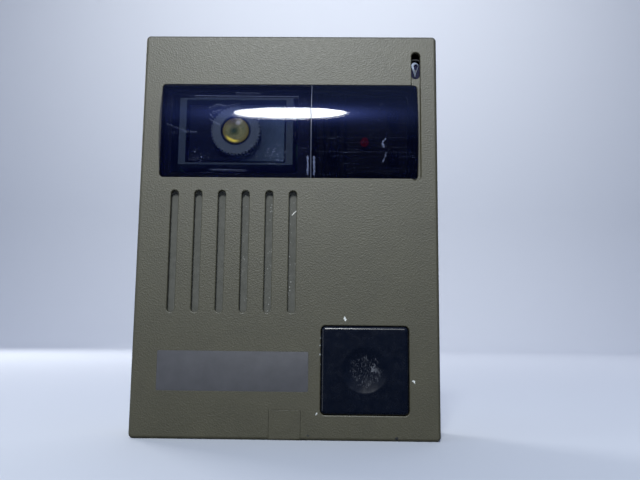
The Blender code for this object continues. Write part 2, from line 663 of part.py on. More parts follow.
def make_camera(m):
    """The camera block that tilts on two pins in its yoke, with its lens and focus ring."""
    half_x, half_z = YOKE_SIZE[0] / 2, YOKE_SIZE[1] / 2
    yoke = block("camera_yoke", about(CAMERA_X, half_x), (YOKE_BACK, YOKE_FRONT), about(CAMERA_Z, half_z),
                 m["zinc"])
    inside_z = about(CAMERA_Z, half_z - YOKE_SHEET)
    bore_profile = [(0, HALF_WIDTH), (PIN_RADIUS + GAP, HALF_WIDTH), (PIN_RADIUS + GAP, -HALF_WIDTH),
                    (0, -HALF_WIDTH)]
    bore = turned("pin_bores", bore_profile, CAMERA_X, CAMERA_Z, steps=MEDIUM_STEPS, matrix=RIGHT)
    bore.location.y = -PIVOT_HEIGHT * MM
    cut(yoke,
        block("yoke_inside", about(CAMERA_X, half_x - YOKE_SHEET),
              (YOKE_BACK + YOKE_SHEET, YOKE_FRONT - YOKE_SHEET), inside_z),
        block("yoke_mouth", about(CAMERA_X, half_x - YOKE_LIP),
              (YOKE_FRONT - YOKE_SHEET - PAST, YOKE_FRONT + PAST), inside_z),
        hole("yoke_cable_hole", CAMERA_X, CAMERA_Z, about(YOKE_BACK, YOKE_SHEET + PAST), YOKE_CABLE_RADIUS),
        bore)
    housing = block("camera_housing", about(CAMERA_X, CAMERA_HALF[0]), (CAMERA_REAR, CAMERA_FRONT),
                    about(CAMERA_Z, CAMERA_HALF[1]), m["black"], edge=CAMERA_EDGE, segments=FEW_STEPS)
    inside_front = CAMERA_FRONT - CAMERA_WALL
    cut(housing,
        block("housing_inside", about(CAMERA_X, CAMERA_HALF[0] - CAMERA_WALL),
              (CAMERA_REAR - PAST, inside_front), about(CAMERA_Z, CAMERA_HALF[1] - CAMERA_WALL)),
        hole("housing_bore", CAMERA_X, CAMERA_Z, (inside_front - PAST, CAMERA_FRONT + PAST),
             MOUNT_RADIUS + GAP),
        bore)
    back = block("camera_back_cover", about(CAMERA_X, BACK_COVER_HALF[0]), BACK_COVER,
                 about(CAMERA_Z, BACK_COVER_HALF[1]), m["zinc"])
    board = block("sensor_board", about(CAMERA_X, SENSOR_BOARD_HALF[0]), SENSOR_BOARD,
                  about(CAMERA_Z, SENSOR_BOARD_HALF[1]), m["circuit"])
    join(board, block("image_sensor", about(CAMERA_X, SENSOR_HALF[0]),
                      (SENSOR_BOARD[0] + PAST, SENSOR_FRONT), about(CAMERA_Z, SENSOR_HALF[1])))
    rear, flange, front = MOUNT
    mount_profile = [(MOUNT_BORE, front), (MOUNT_RADIUS, front), (MOUNT_RADIUS, flange),
                     (MOUNT_FLANGE_RADIUS, flange), (MOUNT_FLANGE_RADIUS, rear), (MOUNT_BORE, rear)]
    mount = turned("lens_mount", mount_profile, CAMERA_X, CAMERA_Z, m["black"], steps=FINE_STEPS,
                   closed=True)
    pins = [make_pin(name, side, m) for name, side in (("tilt_pin_left", -1), ("tilt_pin_right", 1))]
    hang(pivot("camera_tilt_axis", CAMERA_X, PIVOT_HEIGHT, CAMERA_Z), housing, back, board, mount, *pins)
    make_lens(m)


def make_pin(name, side, m):
    """A shoulder screw through the yoke's side wall into the camera block."""
    outside = YOKE_SIZE[0] / 2 + GAP
    head_radius, head_thickness = PIN_HEAD
    head_top = outside + head_thickness
    end = CAMERA_HALF[0] - CAMERA_WALL + GAP
    profile = [(0, head_top), (head_radius - GAP, head_top), (head_radius, head_top - GAP),
               (head_radius, outside), (PIN_RADIUS, outside), (PIN_RADIUS, end), (0, end)]
    pin = turned(name, profile, CAMERA_X, CAMERA_Z, m["steel"], steps=MEDIUM_STEPS,
                 matrix=Matrix.Rotation(math.radians(90.0 * side), 4, "Y"))
    pin.location.y = -PIVOT_HEIGHT * MM
    return pin


def make_lens(m):
    """The toothed focus ring, the barrel that it drives and the coated front glass."""
    ring = toothed_disc("focus_ring", RING, m["ring"])
    cut(ring,
        hole("ring_bore", CAMERA_X, CAMERA_Z, (RING[0] - PAST, RING_WEB), MOUNT_RADIUS + GAP, FINE_STEPS),
        hole("ring_mouth", CAMERA_X, CAMERA_Z, grown(RING, PAST), MOUNT_BORE, FINE_STEPS))
    rear, seat, front = BARREL
    barrel = turned("lens_barrel", [(LENS_BORE, front), (BARREL_RADIUS, front), (BARREL_RADIUS, rear),
                                    (REAR_BORE, rear), (REAR_BORE, seat), (LENS_BORE, seat)],
                    CAMERA_X, CAMERA_Z, m["black"], steps=FINE_STEPS, closed=True)
    bulge = (GLASS_RADIUS ** 2 + GLASS_RISE ** 2) / (2 * GLASS_RISE)
    crown = GLASS[1] + GLASS_RISE
    reach = math.degrees(math.asin(GLASS_RADIUS / bulge))
    face = arc((0, crown - bulge), bulge, 90, 90 - reach, ARC_STEPS)
    face[0] = (0, crown)
    glass = turned("lens_glass", face + [(GLASS_RADIUS, GLASS[0]), (0, GLASS[0])], CAMERA_X, CAMERA_Z,
                   m["glass"], steps=FINE_STEPS)
    hang(pivot("lens_axis", CAMERA_X, PIVOT_HEIGHT, CAMERA_Z), ring, barrel, glass)


def toothed_disc(name, height, material):
    """A disc with one shallow groove between each pair of teeth."""
    shape = bmesh.new()
    bmesh.ops.create_cone(shape, cap_ends=True, segments=RING_TEETH * 2, radius1=RING_RADIUS * MM,
                          radius2=RING_RADIUS * MM, depth=(height[1] - height[0]) * MM)
    tooth_turn = 2 * math.pi / RING_TEETH
    for vertex in shape.verts:
        tooth = math.atan2(vertex.co.y, vertex.co.x) / tooth_turn
        if abs(tooth - round(tooth)) < QUARTER:
            vertex.co.xy *= 1 - TOOTH_DEPTH / RING_RADIUS
    mesh = bpy.data.meshes.new(name)
    shape.to_mesh(mesh)
    shape.free()
    finish_mesh(mesh, sharp_angle=TOOTH_SHARP_ANGLE)
    return put(name, mesh, (CAMERA_X, -sum(height) / 2, CAMERA_Z), FRONT, material)


# ---------------------------------------------------------------- lamps, speaker and microphone

def led_profile(radius, length):
    """A lamp with a domed tip and a collar, standing on the lamp board."""
    foot = LAMP_BOARD[1] + GAP
    tip = foot + length
    collar_radius, collar_top = radius + LAMP_COLLAR[0], foot + LAMP_COLLAR[1]
    top = arc((0, tip - radius), radius, 90, 0, ARC_STEPS)
    top[0] = (0, tip)
    return top + [(radius, collar_top), (collar_radius, collar_top), (collar_radius, foot), (0, foot)]


def make_lamps(m):
    """The lamp board with its night lamps and the red status lamp."""
    block("lamp_board", LAMP_BOARD_X, LAMP_BOARD, LAMP_BOARD_Z, m["circuit"])
    places = [(x, z) for x in LAMP_X for z in LAMP_Z]
    for number, (x, z) in enumerate(places, 1):
        turned(f"night_lamp_{number}", led_profile(*NIGHT_LAMP), x, z, m["dark_lens"], steps=SMALL_STEPS)
    turned("status_lamp", led_profile(*STATUS_LAMP), *STATUS_LAMP_AT, m["red"], steps=SMALL_STEPS)


def make_speaker(m):
    """The speaker behind the slots, its membrane, gasket, clamps and screws."""
    margin_x, margin_z = MEMBRANE_MARGIN
    slots_x = about(SPEAKER_X, SLOT_PITCH * (SLOT_COUNT - 1) / 2)
    block("speaker_membrane", grown(slots_x, margin_x), MEMBRANE, grown(SLOT_Z, margin_z), m["membrane"])
    turned("speaker_gasket", tube_profile(*SPEAKER_GASKET), SPEAKER_X, SPEAKER_Z, m["rubber"],
           steps=FINE_STEPS, closed=True)
    turned("speaker_basket", BASKET, SPEAKER_X, SPEAKER_Z, m["zinc"], steps=FINE_STEPS)
    turned("speaker_cone", CONE, SPEAKER_X, SPEAKER_Z, m["paper"], steps=FINE_STEPS)
    hole("speaker_magnet", SPEAKER_X, SPEAKER_Z, MAGNET, MAGNET_RADIUS, FINE_STEPS, m["steel"])
    half_x, half_z = CLAMP_HALF
    for number, (x, z) in enumerate(CLAMP_BOSSES, 1):
        inward = 1 if x < SPEAKER_X else -1
        tip = SPEAKER_X - inward * (SPEAKER_RADIUS - CLAMP_REACH)
        clamp = block(f"speaker_clamp_{number}", sorted((x - inward * half_x, tip)), CLAMP, about(z, half_z),
                      m["zinc"])
        cut(clamp, hole(f"clamp_hole_{number}", x, z, grown(CLAMP, PAST), SCREW_CORE + GAP, TINY_STEPS))
        boss_screw(f"speaker_screw_{number}", x, z, CLAMP[0], m["zinc"])


def make_microphone(m):
    """The microphone capsule in its rubber boot behind the groove's hole."""
    turned("microphone_boot", tube_profile(*BOOT), GROOVE_MID_X, MIC_Z, m["rubber"], closed=True)
    rear, front = CAPSULE
    turned("microphone_capsule", [(0, front), (CAPSULE_RADIUS - GAP, front), (CAPSULE_RADIUS, front - GAP),
                                  (CAPSULE_RADIUS, rear), (0, rear)], GROOVE_MID_X, MIC_Z, m["steel"])


# ---------------------------------------------------------------- call button

def make_call_button(m):
    """The pressed key, its guide, its spring and the switch behind it."""
    x, z = BUTTON_MID_X, BUTTON_MID_Z
    button = block("call_button", BUTTON_X, (BUTTON_REAR, BUTTON_FRONT), BUTTON_Z, m["button"],
                   corner=BUTTON_CORNER, edge=BUTTON_EDGE)
    join(button, block("button_flange", grown(BUTTON_X, BUTTON_FLANGE_MARGIN), BUTTON_FLANGE,
                       grown(BUTTON_Z, BUTTON_FLANGE_MARGIN)))
    bulge = (DISH_RADIUS ** 2 + DISH_DEPTH ** 2) / (2 * DISH_DEPTH)
    reach = math.degrees(math.asin(DISH_RADIUS / bulge))
    floor = arc((0, BUTTON_FRONT - DISH_DEPTH + bulge), bulge, reach - 90, -90, ARC_STEPS)
    floor[-1] = (0, BUTTON_FRONT - DISH_DEPTH)
    dish = [(0, BUTTON_FRONT + PAST), (DISH_RADIUS, BUTTON_FRONT + PAST)] + floor
    cut(button,
        block("button_inside", grown(BUTTON_X, -BUTTON_WALL), (BUTTON_REAR - PAST, BUTTON_INSIDE),
              grown(BUTTON_Z, -BUTTON_WALL)),
        turned("finger_dish", dish, x, z, steps=FINE_STEPS))
    join(button, hole("button_post", x, z, (POST_END, BUTTON_INSIDE + PAST / 2), POST_RADIUS, MEDIUM_STEPS))
    hang(pivot("button_travel", x, BUTTON_FRONT, z), button)

    guide = block("button_guide", grown(BUTTON_X, GUIDE_MARGIN), GUIDE, grown(BUTTON_Z, GUIDE_MARGIN),
                  m["black"])
    cut(guide,
        block("guide_inside", grown(BUTTON_X, GUIDE_CLEARANCE), (GUIDE_FLOOR, GUIDE[1] + PAST),
              grown(BUTTON_Z, GUIDE_CLEARANCE)),
        hole("guide_hole", x, z, (GUIDE[0] - PAST, GUIDE_FLOOR + PAST), GUIDE_HOLE_RADIUS))
    make_button_spring(m)

    body = block("switch_body", about(x, SWITCH_HALF), SWITCH, about(z, SWITCH_HALF), m["black"])
    cut(body, hole("switch_bore", x, z, (SWITCH_BORE_END, SWITCH[1] + PAST), PLUNGER_RADIUS + GAP,
                   MEDIUM_STEPS))
    plunger = hole("switch_plunger", x, z, PLUNGER, PLUNGER_RADIUS, MEDIUM_STEPS, m["white"])
    hang(pivot("plunger_travel", x, SWITCH[1], z), plunger)
    block("switch_board", about(x, SWITCH_BOARD_HALF), SWITCH_BOARD, about(z, SWITCH_BOARD_HALF),
          m["circuit"])


def make_button_spring(m):
    """A coil spring between the key and the floor of its guide."""
    low, high = GUIDE_FLOOR + SPRING_WIRE + GAP, BUTTON_INSIDE - SPRING_WIRE - GAP
    count = SPRING_TURNS * SPRING_POINTS
    route = []
    for index in range(count + 1):
        angle = 2 * math.pi * index / SPRING_POINTS
        height = low + (high - low) * index / count
        route.append((BUTTON_MID_X + SPRING_RADIUS * math.cos(angle), height,
                      BUTTON_MID_Z + SPRING_RADIUS * math.sin(angle)))
    wire("button_spring", route, SPRING_WIRE, m["steel"])


# ---------------------------------------------------------------- board, rear case and wall bracket

def make_board(m):
    """The main board with its screws, transformer and capacitor."""
    board = block("main_board", about(0, BOARD_HALF_X), BOARD, BOARD_Z, m["circuit"])
    for number, (x, z) in enumerate(BOARD_BOSSES, 1):
        cut(board, hole(f"board_hole_{number}", x, z, grown(BOARD, PAST), BOARD_HOLE_RADIUS, TINY_STEPS))
        turned(f"board_screw_{number}", outward_screw(*BOARD_SCREW_HEAD, *BOARD_SCREW_SHANK), x, z,
               m["zinc"], steps=SMALL_STEPS)
    block("transformer", *TRANSFORMER, m["steel"])
    turned("capacitor", CAPACITOR, *CAPACITOR_AT, m["dark_lens"], steps=MEDIUM_STEPS)


def make_terminals(m):
    """The terminal block that faces the wall, with its two screws."""
    terminals = block("terminal_block", about(0, TERMINAL_HALF[0]), TERMINAL,
                      about(TERMINAL_Z, TERMINAL_HALF[1]), m["white"])
    well_radius, well_floor = TERMINAL_WELL
    core_radius, core_end = TERMINAL_CORE
    slot_half_x, slot_half_z = TERMINAL_SLOT_HALF
    for number, x in enumerate(TERMINAL_X, 1):
        cut(terminals,
            hole(f"terminal_well_{number}", x, TERMINAL_Z, (TERMINAL[0] - PAST, well_floor), well_radius,
                 MEDIUM_STEPS),
            hole(f"terminal_core_{number}", x, TERMINAL_Z, (well_floor - PAST, core_end), core_radius,
                 SMALL_STEPS))
        screw = turned(f"terminal_screw_{number}", inward_screw(*TERMINAL_HEAD, *TERMINAL_SHANK), x,
                       TERMINAL_Z, m["brass"], steps=MEDIUM_STEPS)
        cut(screw, block(f"terminal_slot_{number}", about(x, slot_half_x), TERMINAL_SLOT,
                         about(TERMINAL_Z, slot_half_z)))


def make_volume_control(m):
    """The trimmer on the board's back, with the dial that a screwdriver turns."""
    x, z = TRIMMER_AT
    block("volume_trimmer", about(x, TRIMMER_HALF), TRIMMER, about(z, TRIMMER_HALF), m["dark_lens"])
    dial = hole("volume_dial", x, z, DIAL, DIAL_RADIUS, material=m["white"])
    slot_half_x, slot_half_z = DIAL_SLOT_HALF
    cut(dial, block("dial_slot", about(x, slot_half_x), DIAL_SLOT, about(z, slot_half_z)))
    hang(pivot("volume_axis", x, DIAL[0], z), dial)


def make_rear_case(m):
    """The black tray that closes the panel, with a wiring well round the terminals."""
    half_x, half_z = INNER_HALF_X - GAP, INNER_HALF_Z - GAP
    case = block("rear_case", about(0, half_x), (CASE_BACK, CASE_RIM), about(0, half_z), m["black"],
                 corner=CASE_CORNER, segments=FEW_STEPS)
    cut(case, block("case_inside", about(0, half_x - CASE_WALL), (CASE_FLOOR, CASE_RIM + PAST),
                    about(0, half_z - CASE_WALL)))
    well_x, well_z = about(0, WELL_HALF[0]), about(0, WELL_HALF[1])
    boss_foot = CASE_FLOOR - PAST
    join(case, block("well_outside", grown(well_x, WELL_WALL), (boss_foot, WELL_FLOOR[1]),
                     grown(well_z, WELL_WALL)))
    boss_radius, boss_top = CASE_FIXING_BOSS
    join(case, hole("case_fixing_boss", FIXING_SCREW_X, FIXING_SCREW_Z, (boss_foot, boss_top), boss_radius,
                    MEDIUM_STEPS))
    core_radius, core_foot = CASE_BOARD_CORE
    for number, (x, z) in enumerate(BOARD_BOSSES, 1):
        join(case, hole(f"board_boss_{number}", x, z, (boss_foot, BOARD[0] - GAP), CASE_BOARD_BOSS_RADIUS,
                        SMALL_STEPS))
        cut(case, hole(f"board_core_{number}", x, z, (core_foot, BOARD[0] + PAST), core_radius, TINY_STEPS))
    floor_hole = (CASE_BACK - PAST, CASE_FLOOR + PAST)
    fixing_core_radius, fixing_core = CASE_FIXING_CORE
    cut(case,
        block("wiring_well", well_x, (CASE_BACK - PAST, WELL_FLOOR[0]), well_z),
        block("terminal_window", about(0, TERMINAL_HALF[0] + GAP), grown(WELL_FLOOR, PAST),
              about(TERMINAL_Z, TERMINAL_HALF[1] + GAP)),
        hole("fixing_core", FIXING_SCREW_X, FIXING_SCREW_Z, fixing_core, fixing_core_radius, SMALL_STEPS),
        hole("trimmer_hole", *TRIMMER_AT, floor_hole, TRIMMER_HOLE_RADIUS),
        hole("lock_hole", 0, LOCK_SCREW_Z, floor_hole, LOCK_HOLE_RADIUS, SMALL_STEPS))
    for number, x in enumerate(HOOK_X, 1):
        cut(case, block(f"hook_slot_{number}", about(x, HOOK_SLOT_HALF), floor_hole,
                        (HOOK_Z + HOOK_SLOT_Z[0], HOOK_Z + HOOK_SLOT_Z[1])))
    turned("lock_screw", outward_screw(*LOCK_HEAD, *LOCK_SHANK), 0, LOCK_SCREW_Z, m["zinc"],
           steps=MEDIUM_STEPS)


def make_wall_bracket(m):
    """The steel plate on the wall box, with its hooks, and the foam ring that keeps rain out."""
    bracket = block("wall_bracket", about(0, BRACKET_HALF[0]), (0.0, BRACKET_SHEET),
                    about(0, BRACKET_HALF[1]), m["zinc"], corner=BRACKET_CORNER)
    for number, x in enumerate(HOOK_X, 1):
        join(bracket,
             block(f"hook_arm_{number}", about(x, HOOK_HALF), (BRACKET_SHEET / 2, HOOK_TIP),
                   (HOOK_Z, HOOK_Z + BRACKET_SHEET)),
             block(f"hook_tip_{number}", about(x, HOOK_HALF), (HOOK_TIP - BRACKET_SHEET, HOOK_TIP),
                   (HOOK_Z + BRACKET_SHEET / 2, HOOK_Z + HOOK_REACH)))
    through = grown((0.0, BRACKET_SHEET), PAST)
    opening_x = about(0, BRACKET_OPENING_HALF_X)
    cut(bracket,
        block("cable_opening", opening_x, through, CABLE_OPENING_Z, corner=OPENING_CORNER),
        block("terminal_opening", opening_x, through, TERMINAL_OPENING_Z, corner=OPENING_CORNER),
        hole("lock_thread", 0, LOCK_SCREW_Z, through, LOCK_THREAD_RADIUS, SMALL_STEPS))
    for name, side in (("top", 1), ("bottom", -1)):
        cut(bracket, block(f"fixing_slot_{name}", about(0, FIXING_HALF[0]), through,
                           about(side * FIXING_PITCH / 2, FIXING_HALF[1]), corner=FIXING_CORNER))
    foam = (0.0, FOAM_THICKNESS)
    ring = block("wall_gasket", about(0, FOAM_HALF[0]), foam, about(0, FOAM_HALF[1]), m["foam"])
    cut(ring, block("wall_gasket_hole", about(0, FOAM_HALF[0] - FOAM_WIDTH), grown(foam, PAST),
                    about(0, FOAM_HALF[1] - FOAM_WIDTH)))


def build():
    materials = make_materials()
    makers = (make_front_panel, make_panel_fittings, make_windows, make_inner_frame, make_camera,
              make_lamps, make_speaker, make_microphone, make_call_button, make_board, make_terminals,
              make_volume_control, make_rear_case, make_wall_bracket)
    for make in makers:
        make(materials)


clear_scene()
PARTS = new_collection("door_intercom_panel")
CUTTERS = new_collection("cutters")
build()
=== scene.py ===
"""The looks of the door intercom panel: fine meshes, detailed materials, a studio and the camera.

The part's lengths are millimetres, turned to metres where they meet Blender; the studio's are metres.
"""
import json
import math

import bmesh
import bpy
from mathutils import Matrix, Vector


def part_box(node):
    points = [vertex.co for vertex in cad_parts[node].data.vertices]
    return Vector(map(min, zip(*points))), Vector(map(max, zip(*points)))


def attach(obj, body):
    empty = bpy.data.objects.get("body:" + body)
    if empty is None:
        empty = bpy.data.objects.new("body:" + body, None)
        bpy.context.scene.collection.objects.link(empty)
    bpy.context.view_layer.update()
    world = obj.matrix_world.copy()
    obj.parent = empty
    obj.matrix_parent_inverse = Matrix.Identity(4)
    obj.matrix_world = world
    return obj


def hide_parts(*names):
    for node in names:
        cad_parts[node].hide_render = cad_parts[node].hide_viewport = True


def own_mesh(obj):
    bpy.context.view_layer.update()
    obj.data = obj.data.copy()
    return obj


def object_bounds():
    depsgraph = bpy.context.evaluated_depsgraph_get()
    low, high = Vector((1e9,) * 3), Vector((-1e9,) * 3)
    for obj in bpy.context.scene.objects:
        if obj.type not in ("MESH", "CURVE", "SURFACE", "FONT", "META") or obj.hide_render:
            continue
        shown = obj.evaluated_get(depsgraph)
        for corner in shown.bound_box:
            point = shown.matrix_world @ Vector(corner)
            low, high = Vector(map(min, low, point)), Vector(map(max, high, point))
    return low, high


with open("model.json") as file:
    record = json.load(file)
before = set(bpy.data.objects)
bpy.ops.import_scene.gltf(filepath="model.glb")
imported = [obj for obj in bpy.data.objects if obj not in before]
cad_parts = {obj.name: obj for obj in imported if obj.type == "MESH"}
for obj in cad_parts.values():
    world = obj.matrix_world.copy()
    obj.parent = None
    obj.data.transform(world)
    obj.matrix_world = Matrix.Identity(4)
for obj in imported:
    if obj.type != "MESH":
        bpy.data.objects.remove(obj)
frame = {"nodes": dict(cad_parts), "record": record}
cad_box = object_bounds()

MM = 0.001  # a millimetre in metres
WELD = 0.000002  # metres
FLAT_TURN = math.radians(0.6)
SMOOTH_ANGLE = math.radians(38.0)
EDGE_ANGLE = math.radians(40.0)
CRISP = 0.1
PAST = 1.0
FRONT = Matrix.Rotation(math.radians(90.0), 4, "X")
SIDEWAYS = Matrix(((0, 0, 1, 0), (1, 0, 0, 0), (0, 1, 0, 0), (0, 0, 0, 1)))
BODY_OF = {node: body for body, nodes in frame["record"]["behaviour"]["bodies"].items() for node in nodes}
SLOT_OF = {part["node"]: part["material_slot"] for part in frame["record"]["subparts"]}


# -------- where the CAD puts things

def spans(node):
    """A node's box as three (low, high) pairs in millimetres; Y is turned into height from the wall."""
    low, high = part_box(node)
    return ((low.x / MM, high.x / MM), (-high.y / MM, -low.y / MM), (low.z / MM, high.z / MM))


def middle(span):
    return (span[0] + span[1]) / 2


def grown(span, margin):
    return (span[0] - margin, span[1] + margin)


def about(centre, half):
    return (centre - half, centre + half)


def centre_of(node):
    """The x and z of a node's middle, seen from the front."""
    x, _, z = spans(node)
    return middle(x), middle(z)


# -------- material graphs

NOISE_RANGE = (0.3, 0.7)
SOFT_RIM = 1.15
STROKE_CORE = 0.6
RAGGED_WAVE = 0.7


def tuned(node, **values):
    """Set a node's inputs by name, with _ for a space."""
    for key, value in values.items():
        node.inputs[key.replace("_", " ")].default_value = value
    return node


class Finish:
    """A Principled material whose inputs are driven by small node chains in object space."""

    def __init__(self, name, colour, roughness, metallic=0.0, **plain):
        self.material = bpy.data.materials.new(name)
        self.material.use_nodes = True
        self.tree = self.material.node_tree
        self.shader = self.tree.nodes["Principled BSDF"]
        tuned(self.shader, Base_Color=(*colour, 1.0), Roughness=roughness, Metallic=metallic, **plain)
        self.place = self.tree.nodes.new("ShaderNodeTexCoord").outputs["Object"]
        self.last_normal = None

    def node(self, kind, links=(), **settings):
        made = self.tree.nodes.new(kind)
        for key, value in settings.items():
            setattr(made, key, value)
        for socket, source in links:
            self.put(made.inputs[socket], source)
        return made

    def put(self, socket, source):
        if hasattr(source, "links"):
            self.tree.links.new(source, socket)
        else:
            socket.default_value = source

    def drive(self, key, source):
        self.tree.links.new(source, self.shader.inputs[key])

    def stretched(self, scale=(1, 1, 1), turn=(0, 0, 0)):
        made = self.node("ShaderNodeMapping", [("Vector", self.place)])
        return tuned(made, Scale=scale, Rotation=[math.radians(a) for a in turn]).outputs["Vector"]

    def noise(self, size, detail=3.0, rough=0.5, vector=None):
        """Noise whose features are about size millimetres across."""
        made = self.node("ShaderNodeTexNoise", [("Vector", vector or self.place)])
        return tuned(made, Scale=1.0 / (size * MM), Detail=detail, Roughness=rough).outputs["Fac"]

    def cells(self, size, feature="F1", **plain):
        """The distance from scattered points that lie about size millimetres apart."""
        made = self.node("ShaderNodeTexVoronoi", [("Vector", self.place)], feature=feature)
        return tuned(made, Scale=1.0 / (size * MM), **plain).outputs["Distance"]

    def maths(self, operation, a, b, clamp=False):
        return self.node("ShaderNodeMath", [(0, a), (1, b)], operation=operation, use_clamp=clamp).outputs[0]

    def plus(self, a, b, clamp=False):
        return self.maths("ADD", a, b, clamp)

    def minus(self, a, b):
        return self.maths("SUBTRACT", a, b)

    def times(self, a, b):
        return self.maths("MULTIPLY", a, b)

    def most(self, *masks):
        total = masks[0]
        for mask in masks[1:]:
            total = self.maths("MAXIMUM", total, mask)
        return total

    def step(self, source, low, high, to_low=0.0, to_high=1.0):
        """Source from low to high becomes to_low to to_high, clamped."""
        made = self.node("ShaderNodeMapRange", [("Value", source)], clamp=True)
        return tuned(made, From_Min=low, From_Max=high, To_Min=to_low, To_Max=to_high).outputs["Result"]

    def waver(self, size, low=0.0, high=1.0, detail=3.0, rough=0.5):
        """Noise that wanders between a low and a high value."""
        return self.step(self.noise(size, detail, rough), *NOISE_RANGE, low, high)

    def specks(self, size, inner, outer):
        """Scattered dots: one within the inner distance of a point, nought beyond the outer one."""
        return self.step(self.cells(size), inner, outer, 1.0, 0.0)

    def blend(self, share, a, b):
        made = self.node("ShaderNodeMix", data_type="RGBA")
        self.put(made.inputs[0], share)
        for socket, source in ((6, a), (7, b)):
            self.put(made.inputs[socket], source if hasattr(source, "links") else (*source, 1.0))
        return made.outputs[2]

    def axis(self, index):
        """One object coordinate, in millimetres."""
        split = self.node("ShaderNodeSeparateXYZ", [(0, self.place)])
        return self.times(split.outputs[index], 1.0 / MM)

    def length(self, across, up):
        square = self.plus(self.times(across, across), self.times(up, up))
        return self.maths("POWER", square, 0.5)

    def distance(self, x, z):
        """Millimetres from a spot seen from the front."""
        return self.length(self.minus(self.axis(0), x), self.minus(self.axis(2), z))

    def near(self, x, z, size, ragged=0.35, wave=RAGGED_WAVE):
        """One at a spot seen from the front, with a ragged outline, and nought away from it."""
        shaky = self.plus(self.distance(x, z), self.waver(wave, -ragged, ragged, 4.0))
        return self.step(shaky, size, size * SOFT_RIM, 1.0, 0.0)

    def disc(self, x, z, inner, outer):
        """One within the inner radius of a spot seen from the front, nought beyond the outer one."""
        return self.step(self.distance(x, z), inner, outer, 1.0, 0.0)

    def stroke(self, start, end, half, ragged=0.0):
        """One along a straight mark seen from the front, from start to end, and nought away from it."""
        along = (end[0] - start[0], end[1] - start[1])
        square = along[0] ** 2 + along[1] ** 2
        from_x = self.minus(self.axis(0), start[0])
        from_z = self.minus(self.axis(2), start[1])
        share = self.plus(self.times(from_x, along[0] / square), self.times(from_z, along[1] / square),
                          clamp=True)
        far = self.length(self.minus(from_x, self.times(share, along[0])),
                          self.minus(from_z, self.times(share, along[1])))
        if ragged:
            far = self.plus(far, self.waver(RAGGED_WAVE, -ragged, ragged, 4.0))
        return self.step(far, half * STROKE_CORE, half, 1.0, 0.0)

    def bump(self, height, depth, strength=1.0):
        """Raise the surface by up to depth millimetres; later calls add to earlier ones."""
        made = self.node("ShaderNodeBump", [("Height", height)])
        tuned(made, Distance=depth * MM, Strength=strength)
        if self.last_normal:
            self.tree.links.new(self.last_normal, made.inputs["Normal"])
        self.last_normal = made.outputs["Normal"]
        self.drive("Normal", self.last_normal)


def shaded(colour, share):
    """A colour made darker or lighter, up to full brightness."""
    return tuple(min(1.0, channel * share) for channel in colour)


# -------- materials

BRONZE = (0.058, 0.053, 0.026)
PAINT_DUST = (0.3, 0.3, 0.27)
PEBBLE_SIZE = 0.65
PEBBLE_DEPTH = 0.085
CHIP_WHITE = (0.72, 0.74, 0.7)
CHIP_DARK = (0.012, 0.012, 0.013)
GLINT_GREY = (0.4, 0.42, 0.42)
GLINT_FLECK_X = 14.85
# Each chip or painted glint is its x and z, its radius and its colour.
CHIPS_AND_GLINTS = [(25.0, -37.9, 0.5, CHIP_WHITE), (25.5, -38.7, 0.45, CHIP_WHITE), (54.7, -64.4, 0.4, CHIP_WHITE),
         (54.3, -64.0, 0.3, CHIP_WHITE), (13.5, -78.0, 0.3, CHIP_WHITE), (10.1, -87.0, 0.45, CHIP_DARK),
         (47.2, -87.8, 0.6, CHIP_DARK)]
# A row of small grey flecks beside the button's left edge: painted glints.
CHIPS_AND_GLINTS += [(GLINT_FLECK_X, z, size, GLINT_GREY)
          for z, size in ((-46.3, 0.2), (-49.6, 0.26), (-53.4, 0.2), (-57.8, 0.24), (-61.0, 0.2))]


def bronze_paint():
    """Textured bronze-taupe paint: leather grain, faint mottling, dust, a few chips by the button and a row
    of painted glints beside its left edge.
    """
    paint = Finish("bronze_paint", BRONZE, 0.52, Specular_IOR_Level=1.0)
    fine = paint.noise(0.8, 3.0, 0.6)
    base = paint.blend(paint.waver(14.0, detail=4.0, rough=0.6), shaded(BRONZE, 0.92), shaded(BRONZE, 1.1))
    base = paint.blend(paint.step(fine, 0.4, 0.7, 0.0, 0.35), base, shaded(BRONZE, 1.4))
    dusty = paint.step(paint.noise(9.0, 2.0), 0.52, 0.6)
    dust = paint.times(paint.specks(2.6, 0.0, 0.05), dusty)
    base = paint.blend(paint.times(dust, 0.45), base, PAINT_DUST)
    for x, z, size, colour in CHIPS_AND_GLINTS:
        base = paint.blend(paint.near(x, z, size), base, colour)
    paint.drive("Base Color", base)
    paint.drive("Roughness", paint.waver(2.0, 0.5, 0.54))
    paint.bump(paint.cells(PEBBLE_SIZE, "SMOOTH_F1", Smoothness=0.5), PEBBLE_DEPTH, 0.8)
    paint.bump(fine, 0.02, 0.6)
    return paint.material


# Each mark or painted reflection is its start and end (x and z), half its width, its strength and how ragged
# it is.
CAMERA_MARKS_AND_REFLECTIONS = [
    ((-53.5, 45.9), (-44.0, 42.5), 0.13, 0.2, 0.1),
    ((-46.0, 42.5), (-40.3, 42.4), 0.15, 0.3, 0.1),
    ((-34.5, 48.1), (-30.2, 45.7), 0.16, 0.35, 0.05),
    ((-25.3, 50.6), (-22.6, 48.3), 0.14, 0.4, 0.0),
    ((-42.0, 59.6), (4.0, 59.3), 0.17, 0.45, 0.0),
    ((-24.0, 61.2), (-13.0, 61.1), 0.14, 0.3, 0.0),
    ((-35.0, 53.4), (-31.5, 55.4), 0.25, 0.25, 0.3),
    ((-31.5, 55.4), (-27.5, 54.4), 0.25, 0.25, 0.3),
    ((-27.5, 54.4), (-22.0, 55.8), 0.2, 0.25, 0.3),
    ((-33.5, 51.4), (-29.0, 52.8), 0.2, 0.25, 0.3),
    ((-34.6, 50.6), (-33.2, 48.8), 0.2, 0.2, 0.2),
    ((-34.3, 26.4), (-18.9, 26.3), 0.16, 0.35, 0.0),
    # A painted reflection of the dome's end wall, low down by the seam.
    ((8.5, 32.0), (8.5, 24.6), 0.42, 0.5, 0.3),
]
